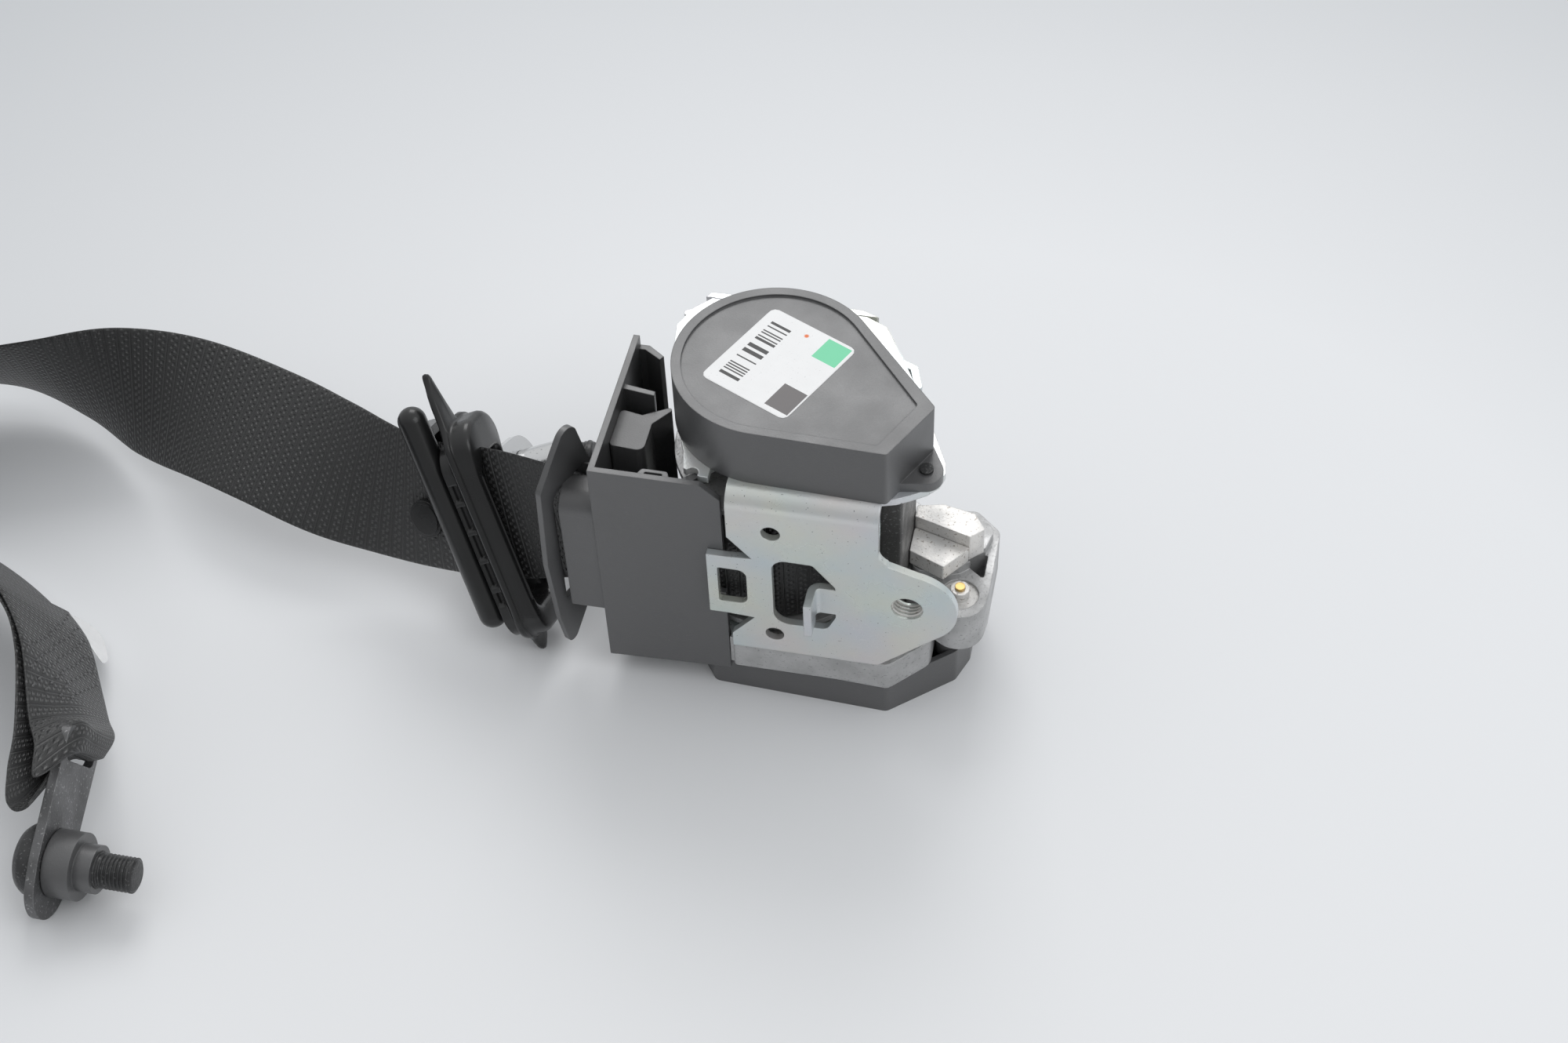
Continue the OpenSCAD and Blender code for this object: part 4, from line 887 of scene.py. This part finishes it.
def screw(name, profile, thread, axes, at, replaced, body):
    """A bolt as a profile of way along and radius turned round its axis. Between the thread's
    ends the radius is cut by the thread, and in the recess it has six lobes."""
    corner_radius = 0.5
    line = softened(profile, corner_radius)
    start, stop = thread
    inside = (line[:, 0] > start) & (line[:, 0] < stop)
    first = np.argmax(line[:, 0] > start)
    steps = np.arange(start, stop, THREAD_PITCH / 12)
    line = np.vstack([line[:first],
                      np.stack([steps, np.full_like(steps, THREAD_RADIUS)], axis=-1),
                      line[first + inside.sum():]])
    angle = np.linspace(0.0, 2 * math.pi, SCREW_SIDES + 1)[:-1]
    way, radius = [np.repeat(line[None, :, k], SCREW_SIDES, axis=0) for k in (0, 1)]
    cut = thread_depth(way, angle[:, None])
    cut *= np.clip((way - start) / 1.2, 0, 1) * np.clip((stop - way) / 0.8, 0, 1)
    order = np.arange(len(line))
    on_thread = (order >= first) & (order < first + len(steps))
    radius = radius - np.where(on_thread, cut, 0.0)
    lobes = (radius > 2.5) & (radius < 4.5) & (order < RECESS_POINTS)
    radius = radius + np.where(lobes, 0.55 * np.cos(6 * angle[:, None]), 0.0)
    local = np.stack([way, radius * np.cos(angle)[:, None], radius * np.sin(angle)[:, None]],
                     axis=-1)
    ringed(name, settled(local, axes, at), "dark_steel", body, replaced)


screw("anchor_screw",
      [[-5.4, 0], [-5.4, 3.4], [-9.3, 3.6], [-9.3, 5.2], [-8.9, 7.6], [-7.8, 9.6], [-6.0, 11.0],
       [-4.2, 11.5], [-1.8, 11.4], [-1.8, 5.72], [16.1, 5.72], [16.4, 5.1], [27.4, 5.1],
       [28.0, 4.3], [28.0, 0]],
      (16.6, 27.3), ANCHOR_AXES, ANCHOR_AT, "anchor_bolt", "end_bolt")
screw("loop_screw",
      [[-1.7, 0], [-1.7, 3.4], [-5.3, 3.6], [-5.3, 7.4], [-4.3, 9.2], [-2.6, 10.0], [-0.3, 9.9],
       [-0.3, 5.72], [17.2, 5.72], [17.2, 7.9], [18.8, 7.9], [18.8, 5.1], [27.9, 5.1],
       [29.2, 4.5], [29.2, 0]],
      (19.0, 27.8), LOOP_AXES, LOOP_AT + 34 * LOOP_AXES[1], "loop_bolt", "pillar_bolt")


def ear_thread():
    """The thread inside the bolt ear: a three-cornered ridge wound along the hole's wall."""
    hole_x, hole_z, front_y = 47, 57, -36.6
    wall, full_turns = 4.99, 4.6
    turns = np.linspace(0.0, full_turns, 4 * SCREW_SIDES)
    angle = turns * 2 * math.pi
    section = np.array([[-0.5, wall], [0.0, 5.02], [0.5, wall], [0.0, 4.28]])
    # The ridge runs out to almost nothing at both ends
    grow = np.clip(np.minimum(turns, full_turns - turns) * 4, 0.02, 1.0)[:, None]
    radius = wall + (section[None, :, 1] - wall) * grow
    along = section[None, :, 0] * grow + turns[:, None] * THREAD_PITCH + front_y
    points = np.stack([hole_x + radius * np.cos(angle)[:, None], along,
                       hole_z + radius * np.sin(angle)[:, None]], axis=-1) * MM
    made = surface("ear_thread", points, close_columns=True, caps=True)
    dress(made, "bare_steel", "retractor")


ear_thread()


# Label on the spring cover

def cover_label():
    """A sheet 0.12 mm thick with rounded corners: its rim is a rounded rectangle, and rings of
    it shrink to the middle on both faces."""
    half = LABEL_SIZE / MM / 2
    rim, _ = rounded_rectangle(-half, half, 2.2, 96)
    share = np.array([0.0, 0.5, 0.96, 0.995, 1.0, 1.0, 0.96, 0.0])
    height = np.array([0.12, 0.12, 0.12, 0.11, 0.08, -0.05, -0.05, -0.05])
    flat = (rim[:, None] * share[:, None]) * MM
    middle = LABEL_AT + LABEL_U * LABEL_SIZE[0] / 2 + LABEL_V * LABEL_SIZE[1] / 2
    points = middle + flat[..., :1] * LABEL_U + flat[..., 1:] * LABEL_V
    points[..., 2] = COVER_FACE_Z + height * MM
    ringed("cover_label", points[::-1], "label_paper", "retractor")


cover_label()
pillar_loop_cover()


# Stage and light

# Grey of the painted light falloff on the table, far from the part and towards the back
FLOOR_PAINTED_FALLOFF = (0.42, 0.44, 0.46, 1)


def add_floor():
    """A wide pale table top at the level of the part's foot, with painted light falloff: greyer
    away from the part and towards the back.
    """
    made, nodes, shader = material("pale table")
    place = nodes.place()
    slow = nodes.noise(place, 1.2, 1.0)
    depth = nodes.add("ShaderNodeSeparateXYZ", {0: place}).outputs["Y"]
    base = nodes.mix(nodes.spread(slow, 0.3, 0.7),
                     (0.75, 0.76, 0.775, 1), (0.77, 0.775, 0.785, 1))
    # Painted light falloff: the table is painted greyer away from the part and towards the back
    far = nodes.vector("DISTANCE", place, (0.05, -0.05, 0.0))
    base = nodes.mix(nodes.spread(far, 0.24, 0.75), base, FLOOR_PAINTED_FALLOFF)
    base = nodes.mix(nodes.spread(depth, 0.3, 1.6), base, FLOOR_PAINTED_FALLOFF)
    plug(nodes, shader, Base_Color=base, Roughness=0.6, Specular_IOR_Level=0.2)
    half_width = 6.0
    line = np.linspace(-half_width, half_width, 9)
    x, y = np.meshgrid(line, line, indexing="ij")
    floor = surface("table_top", np.stack([x, y, np.zeros_like(x)], axis=-1))
    floor.data.materials.append(made)


def add_area_light(name, at, target, size, power, colour=(1.0, 1.0, 1.0)):
    """A soft square lamp turned towards its target."""
    data = bpy.data.lights.new(name, "AREA")
    data.size = size
    data.energy = power
    data.color = colour
    lamp = bpy.data.objects.new(name, data)
    back = np.array(at, float) - np.array(target, float)
    back /= np.linalg.norm(back)
    right = np.cross([0.0, 0.0, 1.0], back)
    right /= np.linalg.norm(right)
    turn = Matrix((right, np.cross(back, right), back)).transposed()
    lamp.matrix_world = Matrix.Translation(at) @ turn.to_4x4()
    bpy.context.scene.collection.objects.link(lamp)


def add_world(strength, bright_way, colour):
    """A soft surround that grows brighter towards one direction."""
    world = bpy.data.worlds.new("studio")
    world.use_nodes = True
    shade = world.node_tree.nodes["Background"]
    shade.inputs["Color"].default_value = colour
    nodes = Nodes(world.node_tree)
    way = nodes.add("ShaderNodeTexCoord").outputs["Generated"]
    level = nodes.spread(nodes.vector("DOT_PRODUCT", way, bright_way), -0.2, 1.0, *strength)
    nodes.give(shade.inputs["Strength"], level)
    bpy.context.scene.world = world


add_floor()
add_world((0.45, 0.96), (-0.1, 0.62, 0.78), (0.97, 0.985, 1.0, 1.0))
add_area_light("window", (-0.5, 2.2, 2.4), (-0.05, 0.0, 0.0), 1.6, 28.0)
add_area_light("fill", (1.3, -0.6, 1.6), (0.0, 0.0, 0.0), 1.2, 8.0, (0.97, 0.985, 1.0))
bpy.context.scene.view_settings.view_transform = "Standard"
